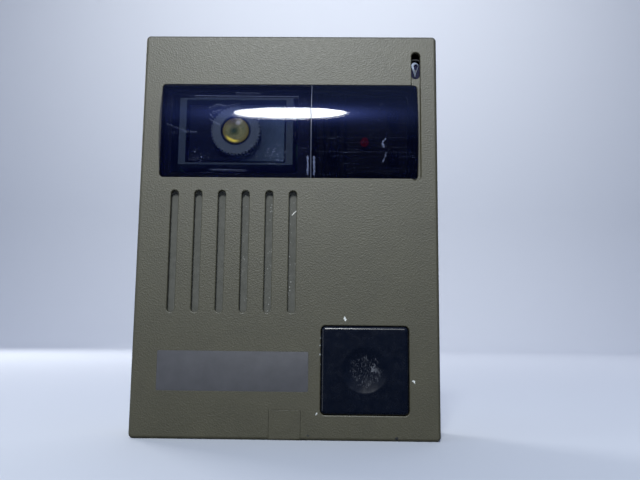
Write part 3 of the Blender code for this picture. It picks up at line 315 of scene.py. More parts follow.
# Each patch of grit is its x, its z and its radius.
CAMERA_DUST = [(-5.6, 32.7, 5.5), (-39.9, 32.0, 3.2)]
LAMP_MARKS_AND_REFLECTIONS = [
    ((12.0, 34.2), (54.0, 34.0), 0.12, 0.04, 0.0),
    ((14.0, 40.4), (52.0, 40.2), 0.1, 0.03, 0.0),
    # A painted reflection of the dome's end wall, low down by the seam.
    ((11.3, 32.0), (11.3, 24.6), 0.42, 0.4, 0.3),
    ((42.2, 39.7), (40.85, 38.0), 0.34, 0.35, 0.4),
    ((40.85, 38.0), (41.6, 36.2), 0.34, 0.35, 0.4),
    ((42.6, 33.5), (42.2, 31.8), 0.34, 0.2, 0.4),
    ((42.2, 31.8), (41.4, 30.3), 0.34, 0.2, 0.4),
]
MARK_AND_REFLECTION_TINT = (0.68, 0.74, 0.88)


def smoke_acrylic(name, alpha, tint, strokes, dusty=()):
    """Polished smoked acrylic with hairline scratches, a little dust, the deeper marks of use, and the
    strokes given, which low by the seam are painted reflections of the domes' end walls.
    """
    smoke = Finish(name, tint, 0.3, Alpha=alpha, Specular_IOR_Level=0.13, Specular_Tint=(0.2, 0.3, 1.0, 1.0),
                   Coat_Weight=1.0, Coat_Roughness=0.035, Coat_Tint=(0.75, 0.8, 1.0, 1.0))
    across = smoke.stretched((0.06, 1, 1), (0, 24, 0))
    along = smoke.stretched((1, 1, 0.05), (0, -12, 0))
    level = smoke.stretched((0.05, 1, 1))
    hairs = smoke.plus(smoke.step(smoke.noise(0.35, 2.0, vector=across), 0.70, 0.74),
                       smoke.step(smoke.noise(0.3, 2.0, vector=along), 0.72, 0.75), clamp=True)
    patch = smoke.step(smoke.noise(11.0, 2.0), 0.5, 0.62)
    worn = smoke.times(hairs, patch)
    dust = smoke.step(smoke.cells(1.7), 0.04, 0.1, 0.4, 0.0)
    wiped = smoke.step(smoke.noise(0.7, 2.0, vector=level), 0.6, 0.8, 0.0, 0.035)
    marks = smoke.plus(smoke.times(worn, 0.35), smoke.times(dust, patch), clamp=True)
    marks = smoke.most(marks, wiped)
    grit = smoke.step(smoke.noise(0.8, 2.0), 0.62, 0.68)
    for x, z, size in dusty:
        marks = smoke.most(marks, smoke.times(grit, smoke.disc(x, z, size * 0.5, size)))
    for start, end, half, strength, ragged in strokes:
        marks = smoke.most(marks, smoke.times(smoke.stroke(start, end, half, ragged), strength))
    smoke.drive("Base Color", smoke.blend(marks, tint, MARK_AND_REFLECTION_TINT))
    smoke.drive("Roughness", smoke.step(smoke.plus(worn, smoke.noise(1.2)), 0.3, 1.4, 0.22, 0.36))
    return smoke.material


def moulded(name, colour, roughness, grain=0.35, depth=0.02, lighter=1.5, **plain):
    """Moulded plastic: fine grain, soft mottling and uneven gloss."""
    plastic = Finish(name, colour, roughness, **plain)
    mottle = plastic.step(plastic.noise(4.0, 5.0, 0.65), 0.35, 0.75, 0.0, 0.7)
    plastic.drive("Base Color", plastic.blend(mottle, colour, shaded(colour, lighter)))
    plastic.drive("Roughness", plastic.waver(2.5, roughness * 0.85, min(1.0, roughness * 1.15), 4.0))
    plastic.bump(plastic.noise(grain, 3.0, 0.6), depth, 0.5)
    return plastic.material


def sheet_steel(name, colour, roughness, spangle=3.5):
    """Galvanised sheet: crystal spangle, rolling lines and dull patches."""
    steel = Finish(name, colour, roughness, metallic=0.7)
    crystal = steel.cells(spangle)
    steel.drive("Base Color", steel.blend(steel.step(crystal, 0.1, 0.8), colour, shaded(colour, 0.62)))
    lines = steel.noise(0.25, 2.0, vector=steel.stretched((1, 1, 0.03)))
    uneven = steel.step(crystal, 0.1, 0.8, roughness * 0.8, roughness * 1.25)
    steel.drive("Roughness", steel.plus(uneven, steel.step(lines, *NOISE_RANGE, -0.06, 0.06)))
    steel.bump(lines, 0.01, 0.35)
    return steel.material


def key_plastic():
    """The call button: blue-black gloss, rubbed pale inside the finger dish."""
    key = Finish("button_plastic", (0.006, 0.009, 0.018), 0.24, Specular_IOR_Level=0.5)
    x_mid, z_mid = centre_of("call_button")
    within = key.near(x_mid + 0.6, z_mid - 0.6, 5.8, 1.8, 2.5)
    streaks = key.noise(0.8, 5.0, 0.75, vector=key.stretched((1.7, 1, 0.6), (0, 14, 0)))
    rubbed = key.times(key.step(streaks, 0.53, 0.66), within)
    bright = key.times(key.near(x_mid + 3.8, z_mid + 1.0, 1.2, 1.0, 1.2),
                       key.step(key.noise(0.5, 4.0, 0.7), 0.42, 0.62))
    worn = key.plus(key.times(rubbed, 0.35), key.times(bright, 0.55), clamp=True)
    haze = key.step(key.noise(6.0, 4.0, 0.6), 0.3, 0.8, 0.0, 0.35)
    base = key.blend(haze, (0.002, 0.0038, 0.01), (0.005, 0.0085, 0.019))
    key.drive("Base Color", key.blend(key.times(worn, 0.6), base, (0.4, 0.42, 0.46)))
    key.drive("Roughness", key.plus(key.waver(3.0, 0.2, 0.3, 4.0), key.step(worn, 0.0, 1.0, 0.0, 0.4)))
    key.bump(key.noise(0.4), 0.012, 0.3)
    return key.material


FILM = (0.073, 0.073, 0.079)


def name_film():
    """The name strip: a bluish film, slightly hazy, with no writing."""
    film = Finish("name_film", FILM, 0.46, Specular_IOR_Level=0.45)
    haze = film.waver(7.0, detail=5.0, rough=0.6)
    film.drive("Base Color", film.blend(haze, shaded(FILM, 0.9), shaded(FILM, 1.12)))
    film.drive("Roughness", film.waver(2.0, 0.54, 0.62, 4.0))
    film.bump(film.noise(0.8), 0.03, 0.5)
    return film.material


def membrane():
    """The thin grey cloth behind the slots, with dust settled in it and one scratch."""
    cloth = Finish("speaker_membrane", (0.13, 0.115, 0.115), 0.7)
    (x_low, x_high), _, (_, z_high) = spans("speaker_membrane")
    patch = cloth.step(cloth.noise(4.0), 0.46, 0.56)
    side = cloth.step(cloth.axis(0), x_low + 25.0, x_high - 5.0, 0.0, 0.8)
    dust = cloth.times(cloth.times(cloth.specks(1.1, 0.08, 0.24), patch), side)
    scratch = cloth.stroke((x_high - 4.6, z_high - 12.8), (x_high - 2.9, z_high - 11.0), 0.2, 0.1)
    base = cloth.blend(cloth.waver(3.0, detail=4.0), (0.083, 0.084, 0.07), (0.108, 0.108, 0.092))
    cloth.drive("Base Color", cloth.blend(cloth.most(dust, scratch), base, (0.7, 0.7, 0.66)))
    cloth.bump(cloth.noise(0.3, 2.0), 0.03, 0.5)
    return cloth.material


def dark_plate():
    """The camera block's front: dark blue-grey paint, lighter and bluer towards one side as a painted
    reflection.
    """
    plate = Finish("dark_plate", (0.03, 0.04, 0.06), 0.45, Specular_IOR_Level=0.12)
    (x_low, x_high), _, (z_low, _) = spans("camera_housing")
    # The plate is painted lighter and bluer towards one side: a painted reflection.
    across = plate.plus(plate.axis(0), plate.waver(5.0, -3.0, 3.0))
    film = plate.step(across, x_low + 14.0, x_high)
    base = plate.blend(film, (0.003, 0.01, 0.035), (0.15, 0.23, 0.38))
    up = plate.plus(plate.axis(2), plate.waver(3.0, -3.0, 3.0))
    low = plate.step(up, z_low + 3.0, z_low + 9.0, 1.0, 0.0)
    chosen = plate.step(plate.noise(2.2), 0.46, 0.58)
    crumbs = plate.times(plate.times(plate.specks(0.9, 0.08, 0.24), low), chosen)
    plate.drive("Base Color", plate.blend(crumbs, base, (0.9, 0.95, 1.0)))
    plate.drive("Roughness", plate.waver(2.0, 0.38, 0.52))
    plate.bump(plate.noise(0.5), 0.04, 0.5)
    return plate.material


LENS_RADIUS = 6.1


def coated_glass():
    """The front lens: an olive and gold coating, with a painted caustic as a bright curved band low on one
    side, made to glow, and a painted highlight high up.
    """
    glass = Finish("coated_glass", (0.2, 0.19, 0.08), 0.12, Coat_Weight=0.1, Coat_Roughness=0.02,
                   Specular_IOR_Level=0.1)
    x, z = centre_of("lens_glass")

    def spot(across, up, inner, outer):
        """A soft disc, placed and sized in shares of the lens's radius."""
        return glass.disc(x + across * LENS_RADIUS, z + up * LENS_RADIUS, inner * LENS_RADIUS,
                          outer * LENS_RADIUS)

    cloud = glass.step(glass.noise(2.4), 0.35, 0.65)
    colour = glass.blend(cloud, (0.78, 0.74, 0.3), (0.44, 0.48, 0.2))
    iris = spot(-0.1, -0.05, 0.12, 0.45)
    colour = glass.blend(iris, colour, (0.12, 0.2, 0.07))
    gold = spot(0.0, 0.0, 0.6, 0.9)
    colour = glass.blend(gold, (0.6, 0.5, 0.13), colour)
    brow = spot(-0.2, 0.85, 0.2, 0.85)
    colour = glass.blend(glass.times(brow, 0.75), colour, (0.26, 0.19, 0.12))
    # A painted caustic: light focused through the glass, painted as a bright band low on one side.
    inside = spot(0.0, 0.0, 0.78, 0.9)
    away = spot(0.13, 0.3, 0.96, 1.1)
    low = spot(-0.3, -0.8, 0.2, 0.65)
    painted_caustic = glass.times(glass.times(inside, low), glass.minus(1.0, away))
    painted_caustic = glass.times(painted_caustic, glass.step(glass.noise(1.3, 2.0), 0.3, 0.6, 0.6, 1.0))
    colour = glass.blend(painted_caustic, colour, (1.0, 0.86, 0.16))
    # A painted highlight high on the glass.
    painted_highlight = spot(0.16, 0.56, 0.08, 0.24)
    colour = glass.blend(glass.times(painted_highlight, 0.8), colour, (1.0, 0.95, 0.92))
    rim = spot(0.0, 0.0, 0.9, 0.98)
    glass.drive("Base Color", glass.blend(rim, (0.02, 0.02, 0.015), colour))
    # The painted caustic is also made to glow, though the lens is no lamp.
    glass.drive("Emission Color", glass.blend(painted_caustic, (0.0, 0.0, 0.0), (1.0, 0.8, 0.1)))
    tuned(glass.shader, Emission_Strength=1.6)
    return glass.material


def laminate():
    """Green circuit board with copper tracks under the varnish."""
    board = Finish("circuit_board", (0.015, 0.1, 0.035), 0.3)
    level = board.noise(1.2, 1.0, vector=board.stretched((0.15, 1, 1)))
    upright = board.noise(1.2, 1.0, vector=board.stretched((1, 1, 0.15)))
    tracks = board.plus(board.step(level, 0.5, 0.53), board.step(upright, 0.54, 0.57), clamp=True)
    board.drive("Base Color", board.blend(tracks, (0.012, 0.085, 0.03), (0.04, 0.2, 0.06)))
    board.drive("Roughness", board.waver(3.0, 0.25, 0.38))
    board.bump(tracks, 0.03, 0.5)
    return board.material


def plated(name, colour, roughness):
    """Plated metal with fine scuffs."""
    metal = Finish(name, colour, roughness, metallic=1.0)
    scuff = metal.noise(0.5, 4.0, 0.7, vector=metal.stretched((1, 1, 0.2), (0, 35, 0)))
    dull = metal.step(metal.noise(1.5, 4.0), 0.4, 0.75, 0.0, 0.6)
    metal.drive("Base Color", metal.blend(dull, colour, shaded(colour, 0.6)))
    metal.drive("Roughness", metal.step(scuff, *NOISE_RANGE, roughness * 0.7, roughness * 1.5))
    metal.bump(scuff, 0.01, 0.3)
    return metal.material


def foam_skin():
    """Closed-cell foam with small open pores, painted darker inside as their shade."""
    foam = Finish("grey_foam", (0.05, 0.05, 0.052), 0.95)
    pores = foam.cells(0.6)
    # Pores painted darker: painted shade in the hollows.
    depth = foam.step(pores, 0.1, 0.5)
    foam.drive("Base Color", foam.blend(depth, (0.02, 0.02, 0.021), (0.07, 0.07, 0.072)))
    foam.bump(pores, 0.12, 0.7)
    return foam.material


def port_rim(x, z):
    """Grey-blue plastic with a painted highlight, bright round one spot."""
    rim = Finish("port_rim", (0.06, 0.085, 0.14), 0.4)
    # A bright spot painted on the rim: a painted highlight.
    worn = rim.times(rim.disc(x, z, 0.9, 2.6), rim.waver(0.9, 0.85, 1.0))
    rim.drive("Base Color", rim.blend(worn, (0.055, 0.08, 0.135), (0.36, 0.42, 0.55)))
    rim.bump(rim.noise(0.3, 2.0), 0.02, 0.4)
    return rim.material


MATERIALS = {
    "bronze": bronze_paint(),
    "film": name_film(),
    "smoke": smoke_acrylic("smoke_acrylic", 0.4, (0.0015, 0.003, 0.021), CAMERA_MARKS_AND_REFLECTIONS, CAMERA_DUST),
    "rubber": moulded("black_rubber", (0.018, 0.018, 0.019), 0.75, grain=0.5, depth=0.03),
    "black": moulded("black_plastic", (0.011, 0.011, 0.013), 0.48, grain=0.4, depth=0.03),
    "zinc": sheet_steel("zinc_sheet", (0.52, 0.54, 0.57), 0.34),
    "dark_plate": dark_plate(),
    "circuit": laminate(),
    "ring": moulded("ring_plastic", (0.2, 0.26, 0.36), 0.55, grain=0.3, lighter=1.15),
    "glass": coated_glass(),
    "steel": plated("bright_steel", (0.62, 0.62, 0.62), 0.25),
    "red": moulded("red_lens", (0.34, 0.008, 0.01), 0.14, depth=0.004, Emission_Color=(1.0, 0.02, 0.01, 1.0),
                   Emission_Strength=0.08),
    "membrane": membrane(),
    "paper": moulded("cone_paper", (0.035, 0.033, 0.03), 0.9, grain=0.6, depth=0.08),
    "ferrite": moulded("ferrite", (0.05, 0.05, 0.055), 0.55, grain=0.5),
    "button": key_plastic(),
    "white": moulded("white_plastic", (0.66, 0.63, 0.56), 0.45, grain=0.6, lighter=1.08),
    "dark_lens": moulded("dark_lens", (0.02, 0.02, 0.05), 0.12, depth=0.003, lighter=1.3),
    "screw": plated("zinc_screw", (0.62, 0.62, 0.64), 0.3),
    "brass": plated("brass_screw", (0.75, 0.55, 0.24), 0.28),
    "foam": foam_skin(),
}
DARK_SMOKE = smoke_acrylic("dark_smoke_acrylic", 0.62, (0.0008, 0.0016, 0.009), LAMP_MARKS_AND_REFLECTIONS)
YOKE_PAINT = moulded("yoke_paint", (0.072, 0.115, 0.185), 0.5, grain=0.5, depth=0.03, lighter=1.3)
SEAM_CEMENT = moulded("seam_cement", (0.16, 0.18, 0.24), 0.3, grain=0.6, depth=0.05, lighter=1.8)
FRAME_BLACK = moulded("frame_black", (0.003, 0.006, 0.014), 0.5, grain=0.4, depth=0.03,
                      Specular_IOR_Level=0.12)
BLACKED_STEEL = plated("blacked_steel", (0.05, 0.05, 0.06), 0.45)
BLACK_LAMINATE = moulded("black_laminate", (0.006, 0.007, 0.011), 0.4, grain=0.8, lighter=2.0)


# -------- mesh work

def weld(shape):
    bmesh.ops.remove_doubles(shape, verts=shape.verts, dist=WELD)


def make_whole(shape):
    """Join the triangles of each flat face."""
    bmesh.ops.dissolve_limit(shape, angle_limit=FLAT_TURN, verts=shape.verts, edges=shape.edges)


def turn_outwards(shape):
    bmesh.ops.recalc_face_normals(shape, faces=shape.faces)


def reshape(mesh, *changes):
    """Put a mesh through some changes, in turn."""
    shape = bmesh.new()
    shape.from_mesh(mesh)
    for change in changes:
        change(shape)
    shape.to_mesh(mesh)
    shape.free()


def tidy_mesh(mesh):
    reshape(mesh, weld, turn_outwards)
    mesh.shade_smooth()
    mesh.set_sharp_from_angle(angle=SMOOTH_ANGLE)


def settle(piece, node, slot=None, material=None):
    """Dress a finished piece and let it ride on its node's body."""
    slot = slot or SLOT_OF[node]
    piece.data.materials.clear()
    piece.data.materials.append(material or MATERIALS[slot])
    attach(piece, BODY_OF[node])
    return piece


def stand_in(piece, node, material=None):
    """The piece takes the place of a CAD node."""
    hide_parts(node)
    return settle(piece, node, material=material)


def linked(name, data):
    item = bpy.data.objects.new(name, data)
    bpy.context.scene.collection.objects.link(item)
    return item


def put(name, mesh, where=(0, 0, 0), matrix=None):
    item = linked(name, mesh)
    item.matrix_world = Matrix.Translation(Vector(where) * MM) @ (matrix or Matrix.Identity(4))
    return item


def applied(item, tidy=True):
    """Turn an object with modifiers, or a curve, into a plain mesh in the shared frame."""
    bpy.context.view_layer.update()
    seen = item.evaluated_get(bpy.context.evaluated_depsgraph_get())
    mesh = bpy.data.meshes.new_from_object(seen)
    mesh.transform(item.matrix_world)
    name = item.name
    bpy.data.objects.remove(item, do_unlink=True)
    if tidy:
        tidy_mesh(mesh)
    return put(name, mesh)


def bevel_edges(shape, edges, width, steps):
    bmesh.ops.bevel(shape, geom=edges, offset=width * MM, offset_type="OFFSET", segments=steps, profile=0.5,
                    affect="EDGES", clamp_overlap=True)


def block(name, x, height, z, corner=0.0, edge=0.0, corner_steps=8, edge_steps=6):
    """A box with round corners in the front view and a round front edge."""
    size = Vector((x[1] - x[0], height[1] - height[0], z[1] - z[0])) * MM
    shape = bmesh.new()
    bmesh.ops.create_cube(shape, size=1.0)
    bmesh.ops.scale(shape, vec=size, verts=shape.verts)
    if corner:
        upright = [e for e in shape.edges if abs(e.verts[0].co.y - e.verts[1].co.y) > WELD]
        bevel_edges(shape, upright, corner, corner_steps)
    if edge:
        front = [e for e in shape.edges if all(v.co.y < WELD - size.y / 2 for v in e.verts)]
        bevel_edges(shape, front, edge, edge_steps)
    mesh = bpy.data.meshes.new(name)
    shape.to_mesh(mesh)
    shape.free()
    tidy_mesh(mesh)
    return put(name, mesh, (middle(x), -middle(height), middle(z)))


def turned(name, profile, x, z, steps=64, closed=False):
    """A lathe-made piece from radius and height pairs, down the outer side."""
    points = [(radius * MM, 0.0, height * MM) for radius, height in profile]
    edges = [(i, i + 1) for i in range(len(points) - 1)]
    if closed:
        edges.append((len(points) - 1, 0))
    mesh = bpy.data.meshes.new(name)
    mesh.from_pydata(points, edges, [])
    item = put(name, mesh, (x, 0, z), FRONT)
    screw = item.modifiers.new("turn", "SCREW")
    screw.steps = steps
    screw.render_steps = steps
    screw.use_merge_vertices = True
    screw.merge_threshold = WELD
    return applied(item)


def pin(name, radius, top, bottom, x, z, steps=64):
    """A plain round bar between two heights."""
    return turned(name, [(0, top), (radius, top), (radius, bottom), (0, bottom)], x, z, steps)


def arc(centre, radius, start, end, count):
    turn = [math.radians(start + (end - start) * i / count) for i in range(count + 1)]
    return [(centre[0] + radius * math.cos(a), centre[1] + radius * math.sin(a)) for a in turn]


def bowl(radius, depth):
    """The radius of a ball and the angle at it that give a shallow cap its rim and depth."""
    ball = (radius ** 2 + depth ** 2) / (2 * depth)
    return ball, math.degrees(math.asin(radius / ball))


def prism(name, outline, depth, where, matrix):
    """A filled outline, given depth, turned by the matrix and put in its place."""
    curve = bpy.data.curves.new(name, "CURVE")
    curve.dimensions = "2D"
    curve.fill_mode = "BOTH"
    curve.extrude = depth / 2 * MM
    spline = curve.splines.new("POLY")
    spline.points.add(len(outline) - 1)
    for point, (across, up) in zip(spline.points, outline):
        point.co = (across * MM, up * MM, 0.0, 1.0)
    spline.use_cyclic_u = True
    return applied(put(name, curve, where, matrix))


def extruded(name, outline, x):
    """A prism along X from an outline of height and z pairs."""
    return prism(name, [(-height, z) for height, z in outline], x[1] - x[0], (middle(x), 0, 0), SIDEWAYS)


def faced(name, outline, height, x, z):
    """A prism along the height from an outline of x and z pairs about a spot."""
    return prism(name, outline, height[1] - height[0], (x, -middle(height), z), FRONT)


def combined(target, operation, *tools):
    """Boolean each tool into the target, then drop the tools."""
    for tool in tools:
        change = target.modifiers.new(tool.name, "BOOLEAN")
        change.operation = operation
        change.solver = "EXACT"
        change.object = tool
    made = applied(target)
    for tool in tools:
        bpy.data.objects.remove(tool, do_unlink=True)
    return made


def evened(piece):
    """Let each corner take the direction of its widest face, so flat faces shade flat."""
    even = piece.modifiers.new("even", "WEIGHTED_NORMAL")
    even.keep_sharp = True
    even.weight = 50
    return applied(piece, tidy=False)


def rounding(piece, width, steps, method):
    ease = piece.modifiers.new("ease", "BEVEL")
    ease.width = width * MM
    ease.segments = steps
    ease.limit_method = method
    return ease


def eased(piece, width, steps=2):
    """Round every sharp edge, as a real moulding or casting has it."""
    rounding(piece, width, steps, "ANGLE").angle_limit = EDGE_ANGLE
    return evened(piece)


def rimmed(piece, width, crisp):
    """Round the sharp edges, but hardly in the crisp windows of the front view."""
    def weigh(shape):
        share = shape.edges.layers.float.new("bevel_weight_edge")
        for edge in shape.edges:
            if edge.calc_face_angle(0.0) > EDGE_ANGLE:
                within = any(all(x[0] < vert.co.x / MM < x[1] and z[0] < vert.co.z / MM < z[1]
                                 for vert in edge.verts) for x, z in crisp)
                edge[share] = CRISP if within else 1.0

    reshape(piece.data, make_whole, weigh)
    rounding(piece, width, 3, "WEIGHT").use_clamp_overlap = False
    return evened(piece)


def from_cad(node, edge):
    """A finer copy of a CAD node: welded, with flat faces made whole and its edges eased."""
    mesh = frame["nodes"][node].data.copy()
    reshape(mesh, weld, make_whole)
    piece = put(node + "_fine", mesh)
    tidy_mesh(mesh)
    return eased(piece, edge) if edge else evened(piece)


# -------- custom pieces

FACE = spans("front_panel")[1][1]
DOME_WALL = 2.0
SEAM_WALL = 0.7
DOME_STEPS = 72
DOME_EDGE = 0.3
FLANGE_MARGIN = 2.0
FLANGE_THICKNESS = 1.5
WINDOW_GAP = 0.15
WINDOW_CORNER = 1.5
CORNER_ROOM = 8.0
SEAM_HALF = 0.09
SEAM_SUNK = 0.12
SEAM_OVERLAP = 0.1
SEAM_DEPTH = 2.0


def dome_outline(box_z, crown, inset, foot):
    """Heights and z of a shallow dome over the panel's face, from its foot up, over and down again."""
    half = (box_z[1] - box_z[0]) / 2
    rise = crown - FACE
    radius = (half * half + rise * rise) / (2 * rise)
    centre = (crown - radius, middle(box_z))
    reach = math.degrees(math.asin((half - inset) / (radius - inset)))
    curve = arc(centre, radius - inset, -reach, reach, DOME_STEPS)
    return [(foot, box_z[0] + inset)] + curve + [(foot, box_z[1] - inset)]


def make_window(node, outer_left, material=None):
    """A smoked dome with a fine curve, round corners, polished edges and a thin wall at the seam."""
    def inwards(span, outer, seam):
        """Draw in the outer end of a span and the end at the seam."""
        return (span[0] + outer, span[1] - seam) if outer_left else (span[0] + seam, span[1] - outer)

    whole_x, height, z = spans(node)
    foot = height[0]
    outside_z = grown(z, -FLANGE_MARGIN + WINDOW_GAP)
    x = inwards(whole_x, FLANGE_MARGIN, 0)
    body = extruded(node + "_dome", dome_outline(outside_z, height[1], 0.0, foot), x)
    corners = block("round_corners", inwards(x, 0, -CORNER_ROOM), grown(height, PAST), outside_z,
                    corner=WINDOW_CORNER)
    body = combined(body, "INTERSECT", corners)
    hollow = extruded("hollow", dome_outline(outside_z, height[1], DOME_WALL, foot - PAST),
                      inwards(x, DOME_WALL, SEAM_WALL))
    body = combined(body, "DIFFERENCE", hollow)
    stand_in(eased(body, DOME_EDGE, 3), node, material)
    flange = block(node + "_flange", whole_x, (foot, foot + FLANGE_THICKNESS), z)
    hole = block("flange_hole", x, (foot - PAST, foot + 2 * FLANGE_THICKNESS), outside_z)
    settle(combined(flange, "DIFFERENCE", hole), node, material=material)


def make_seam():
    """The line of clear cement between the two domes."""
    left, right = spans("camera_window"), spans("lamp_window")
    crown = left[1][1] - SEAM_SUNK
    z = grown(left[2], -FLANGE_MARGIN - SEAM_OVERLAP)
    x = about((left[0][1] + right[0][0]) / 2, SEAM_HALF)
    bead = extruded("window_seam", dome_outline(z, crown, 0.0, FACE - SEAM_DEPTH), x)
    inside = dome_outline(z, crown, DOME_WALL, FACE - SEAM_DEPTH - PAST)
    hollow = extruded("seam_hollow", inside, grown(x, PAST))
    settle(combined(bead, "DIFFERENCE", hollow), "camera_window", material=SEAM_CEMENT)


RIB_X = (15.4, 18.6, 21.8, 25.0)
RIB_HALF = 0.55
RIB_DEPTH = 4.0
RIB_PROUD = 0.25
RIB_SHORT = 8.0


def make_louvre():
    """Dark ribs on the inner frame that hide the lamp board from the side."""
    _, height, z = spans("inner_frame")
    rib_height = (height[1] - RIB_DEPTH, height[1] + RIB_PROUD)
    for number, x in enumerate(RIB_X, 1):
        rib = block(f"louvre_rib_{number}", about(x, RIB_HALF), rib_height, grown(z, -RIB_SHORT))
        settle(eased(rib, 0.2), "inner_frame", material=FRAME_BLACK)


KEY_MARGIN = 1.2
KEY_CORNER = 1.8
KEY_EDGE = 1.5
KEY_SKIRT = 3.6
KEY_WALL = 1.5
KEY_FRONT_WALL = 2.6
KEY_FLANGE = (34.2, 35.2)
DISH_RADIUS = 10.0
DISH_DEPTH = 1.25
POST_RADIUS = 2.6
POST_OVERLAP = 0.2


def make_button():
    """The call button, hollow behind, with a finely turned dish, soft bevels and a post."""
    x, height, z = spans("call_button")
    place = centre_of("call_button")
    key_x, key_z = grown(x, -KEY_MARGIN), grown(z, -KEY_MARGIN)
    front = height[1]
    rear = height[0] + KEY_SKIRT
    key = block("call_button_key", key_x, (rear, front), key_z, corner=KEY_CORNER, edge=KEY_EDGE)
    ball, reach = bowl(DISH_RADIUS, DISH_DEPTH)
    floor = arc((0, front - DISH_DEPTH + ball), ball, reach - 90, -90, 14)
    floor[-1] = (0, front - DISH_DEPTH)
    mouth = [(0, front + PAST), (DISH_RADIUS, front + PAST)]
    dish = turned("dish", mouth + floor, *place, steps=96)
    hollow = (grown(key_x, -KEY_WALL), (rear - PAST, front - KEY_FRONT_WALL), grown(key_z, -KEY_WALL))
    key = combined(key, "DIFFERENCE", dish, block("inside", *hollow))
    key = combined(key, "UNION", block("flange", x, KEY_FLANGE, z))
    key = combined(key, "DIFFERENCE", block("inside_again", *hollow))
    post = pin("post", POST_RADIUS, front - KEY_FRONT_WALL + POST_OVERLAP, height[0], *place, steps=32)
    key = combined(key, "UNION", post)
    stand_in(evened(key), "call_button")


TEETH = 44
TOOTH = 0.75
BORE_RADIUS = 9.1
BORE = (36.3, 33.0)
MOUTH_RADIUS = 6.8
MOUTH = (39.0, 35.0)


def make_focus_ring():
    """The toothed ring, with flat-topped teeth and a stepped hole."""
    x, height, _ = spans("focus_ring")
    place = centre_of("focus_ring")
    outer = (x[1] - x[0]) / 2
    root = outer - TOOTH
    points = []
    for number in range(TEETH):
        for share, radius in ((0.0, root), (0.22, root), (0.38, outer), (0.84, outer)):
            angle = 2 * math.pi * (number + share) / TEETH
            points.append((radius * math.cos(angle), radius * math.sin(angle)))
    ring = faced("focus_ring_fine", points, height, *place)
    ring = combined(ring, "DIFFERENCE", pin("bore", BORE_RADIUS, *BORE, *place),
                    pin("mouth", MOUTH_RADIUS, *MOUTH, *place))
    stand_in(eased(ring, 0.12), "focus_ring")


BARREL_RADIUS = 6.65
BARREL_BORE = 6.2
THREAD_BORE = 4.2
GLASS_SEAT = 32.5
GLASS_REAR = 33.0
GLASS_REAR_RADIUS = 6.0
GLASS_RISE = 0.7
GLASS_SUNK = 0.7
GLASS_RIM = 0.4


def make_lens():
    """The barrel with its stepped rim and the domed, coated glass."""
    _, (rear, front), _ = spans("lens_barrel")
    place = centre_of("lens_barrel")
    rim = [(BARREL_BORE, front - 0.25), (6.3, front), (6.5, front), (BARREL_RADIUS, front - 0.15)]
    tube = [(BARREL_RADIUS, rear), (THREAD_BORE, rear), (THREAD_BORE, GLASS_SEAT), (BARREL_BORE, GLASS_SEAT)]
    stand_in(turned("lens_barrel_fine", rim + tube, *place, closed=True), "lens_barrel")
    crown = spans("lens_glass")[1][1] - GLASS_SUNK
    ball, reach = bowl(LENS_RADIUS, GLASS_RISE)
    front_face = arc((0, crown - ball), ball, 90, 90 - reach, 16)
    front_face[0] = (0, crown)
    back = [(LENS_RADIUS, crown - GLASS_RISE - GLASS_RIM), (GLASS_REAR_RADIUS, GLASS_REAR), (0, GLASS_REAR)]
    stand_in(turned("lens_glass_fine", front_face + back, *place, steps=96), "lens_glass")


LAMPS = ["status_lamp"] + [f"night_lamp_{number}" for number in range(1, 5)]
COLLAR_STEP = 0.4
COLLAR_HEIGHT = 1.0


def make_lamps():
    """Lamps with domed lenses on round collars."""
    for node in LAMPS:
        x, height, _ = spans(node)
        collar = (x[1] - x[0]) / 2
        radius = collar - COLLAR_STEP
        top = arc((0, height[1] - radius), radius, 90, 0, 12)
        top[0] = (0, height[1])
        seat = height[0] + COLLAR_HEIGHT
        foot = [(radius, seat), (collar, seat), (collar, height[0]), (0, height[0])]
        stand_in(turned(node + "_fine", top + foot, *centre_of(node), steps=48), node)


def make_spring():
    """The return spring on its seat: a finer copy of its CAD node, with a mesh of its own."""
    spring = stand_in(from_cad("button_spring", 0.0), "button_spring")
    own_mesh(spring)


PORT_DEPTH = 7.2


def drop(radius, shift, depth):
    """A drop's outline, round at the top and ending in a point the depth below its top."""
    return arc((shift, 0), radius, 0, 180, 16) + [(shift * 0.6, radius - depth)]


def make_microphone():
    """The capsule: a dark can whose face carries a small bright sound port over grey felt."""
    x, height, z = spans("microphone_capsule")
    radius, front = (x[1] - x[0]) / 2, height[1]
    centre, top = middle(x), z[1]
    rim = [(0, front - 0.8), (radius - 0.4, front - 0.8), (radius, front - 1.2)]
    can = turned("microphone_can", rim + [(radius, height[0]), (0, height[0])], centre, middle(z))
    stand_in(can, "microphone_capsule", MATERIALS["dark_lens"])
    port = faced("microphone_port", drop(1.62, 0.0, PORT_DEPTH), (front - 0.5, front), centre, top - 1.9)
    mouth = faced("port_mouth", drop(1.0, 0.38, PORT_DEPTH - 3.0), (front - 1.0, front + 0.5), centre,
                  top - 2.1)
    port = eased(combined(port, "DIFFERENCE", mouth), 0.12)
    settle(port, "microphone_capsule", slot="ring", material=port_rim(centre - 0.9, top - 2.0))
    felt = faced("microphone_felt", drop(0.6, 0.3, PORT_DEPTH - 4.6), (front - 0.75, front - 0.15), centre,
                 top - 4.4)
    settle(felt, "microphone_capsule", slot="ferrite")


FILM_FILL = 0.28
FILM_SUNK = 0.02


def make_name_plate():
    """The film fills its recess to the edges and lies a hair below the paint."""
    x, height, z = spans("name_plate")
    film = block("name_plate_film", grown(x, FILM_FILL), (height[0] - 0.2, FACE - FILM_SUNK),
                 grown(z, FILM_FILL), corner=0.6, edge=0.03, edge_steps=2)
    stand_in(film, "name_plate")


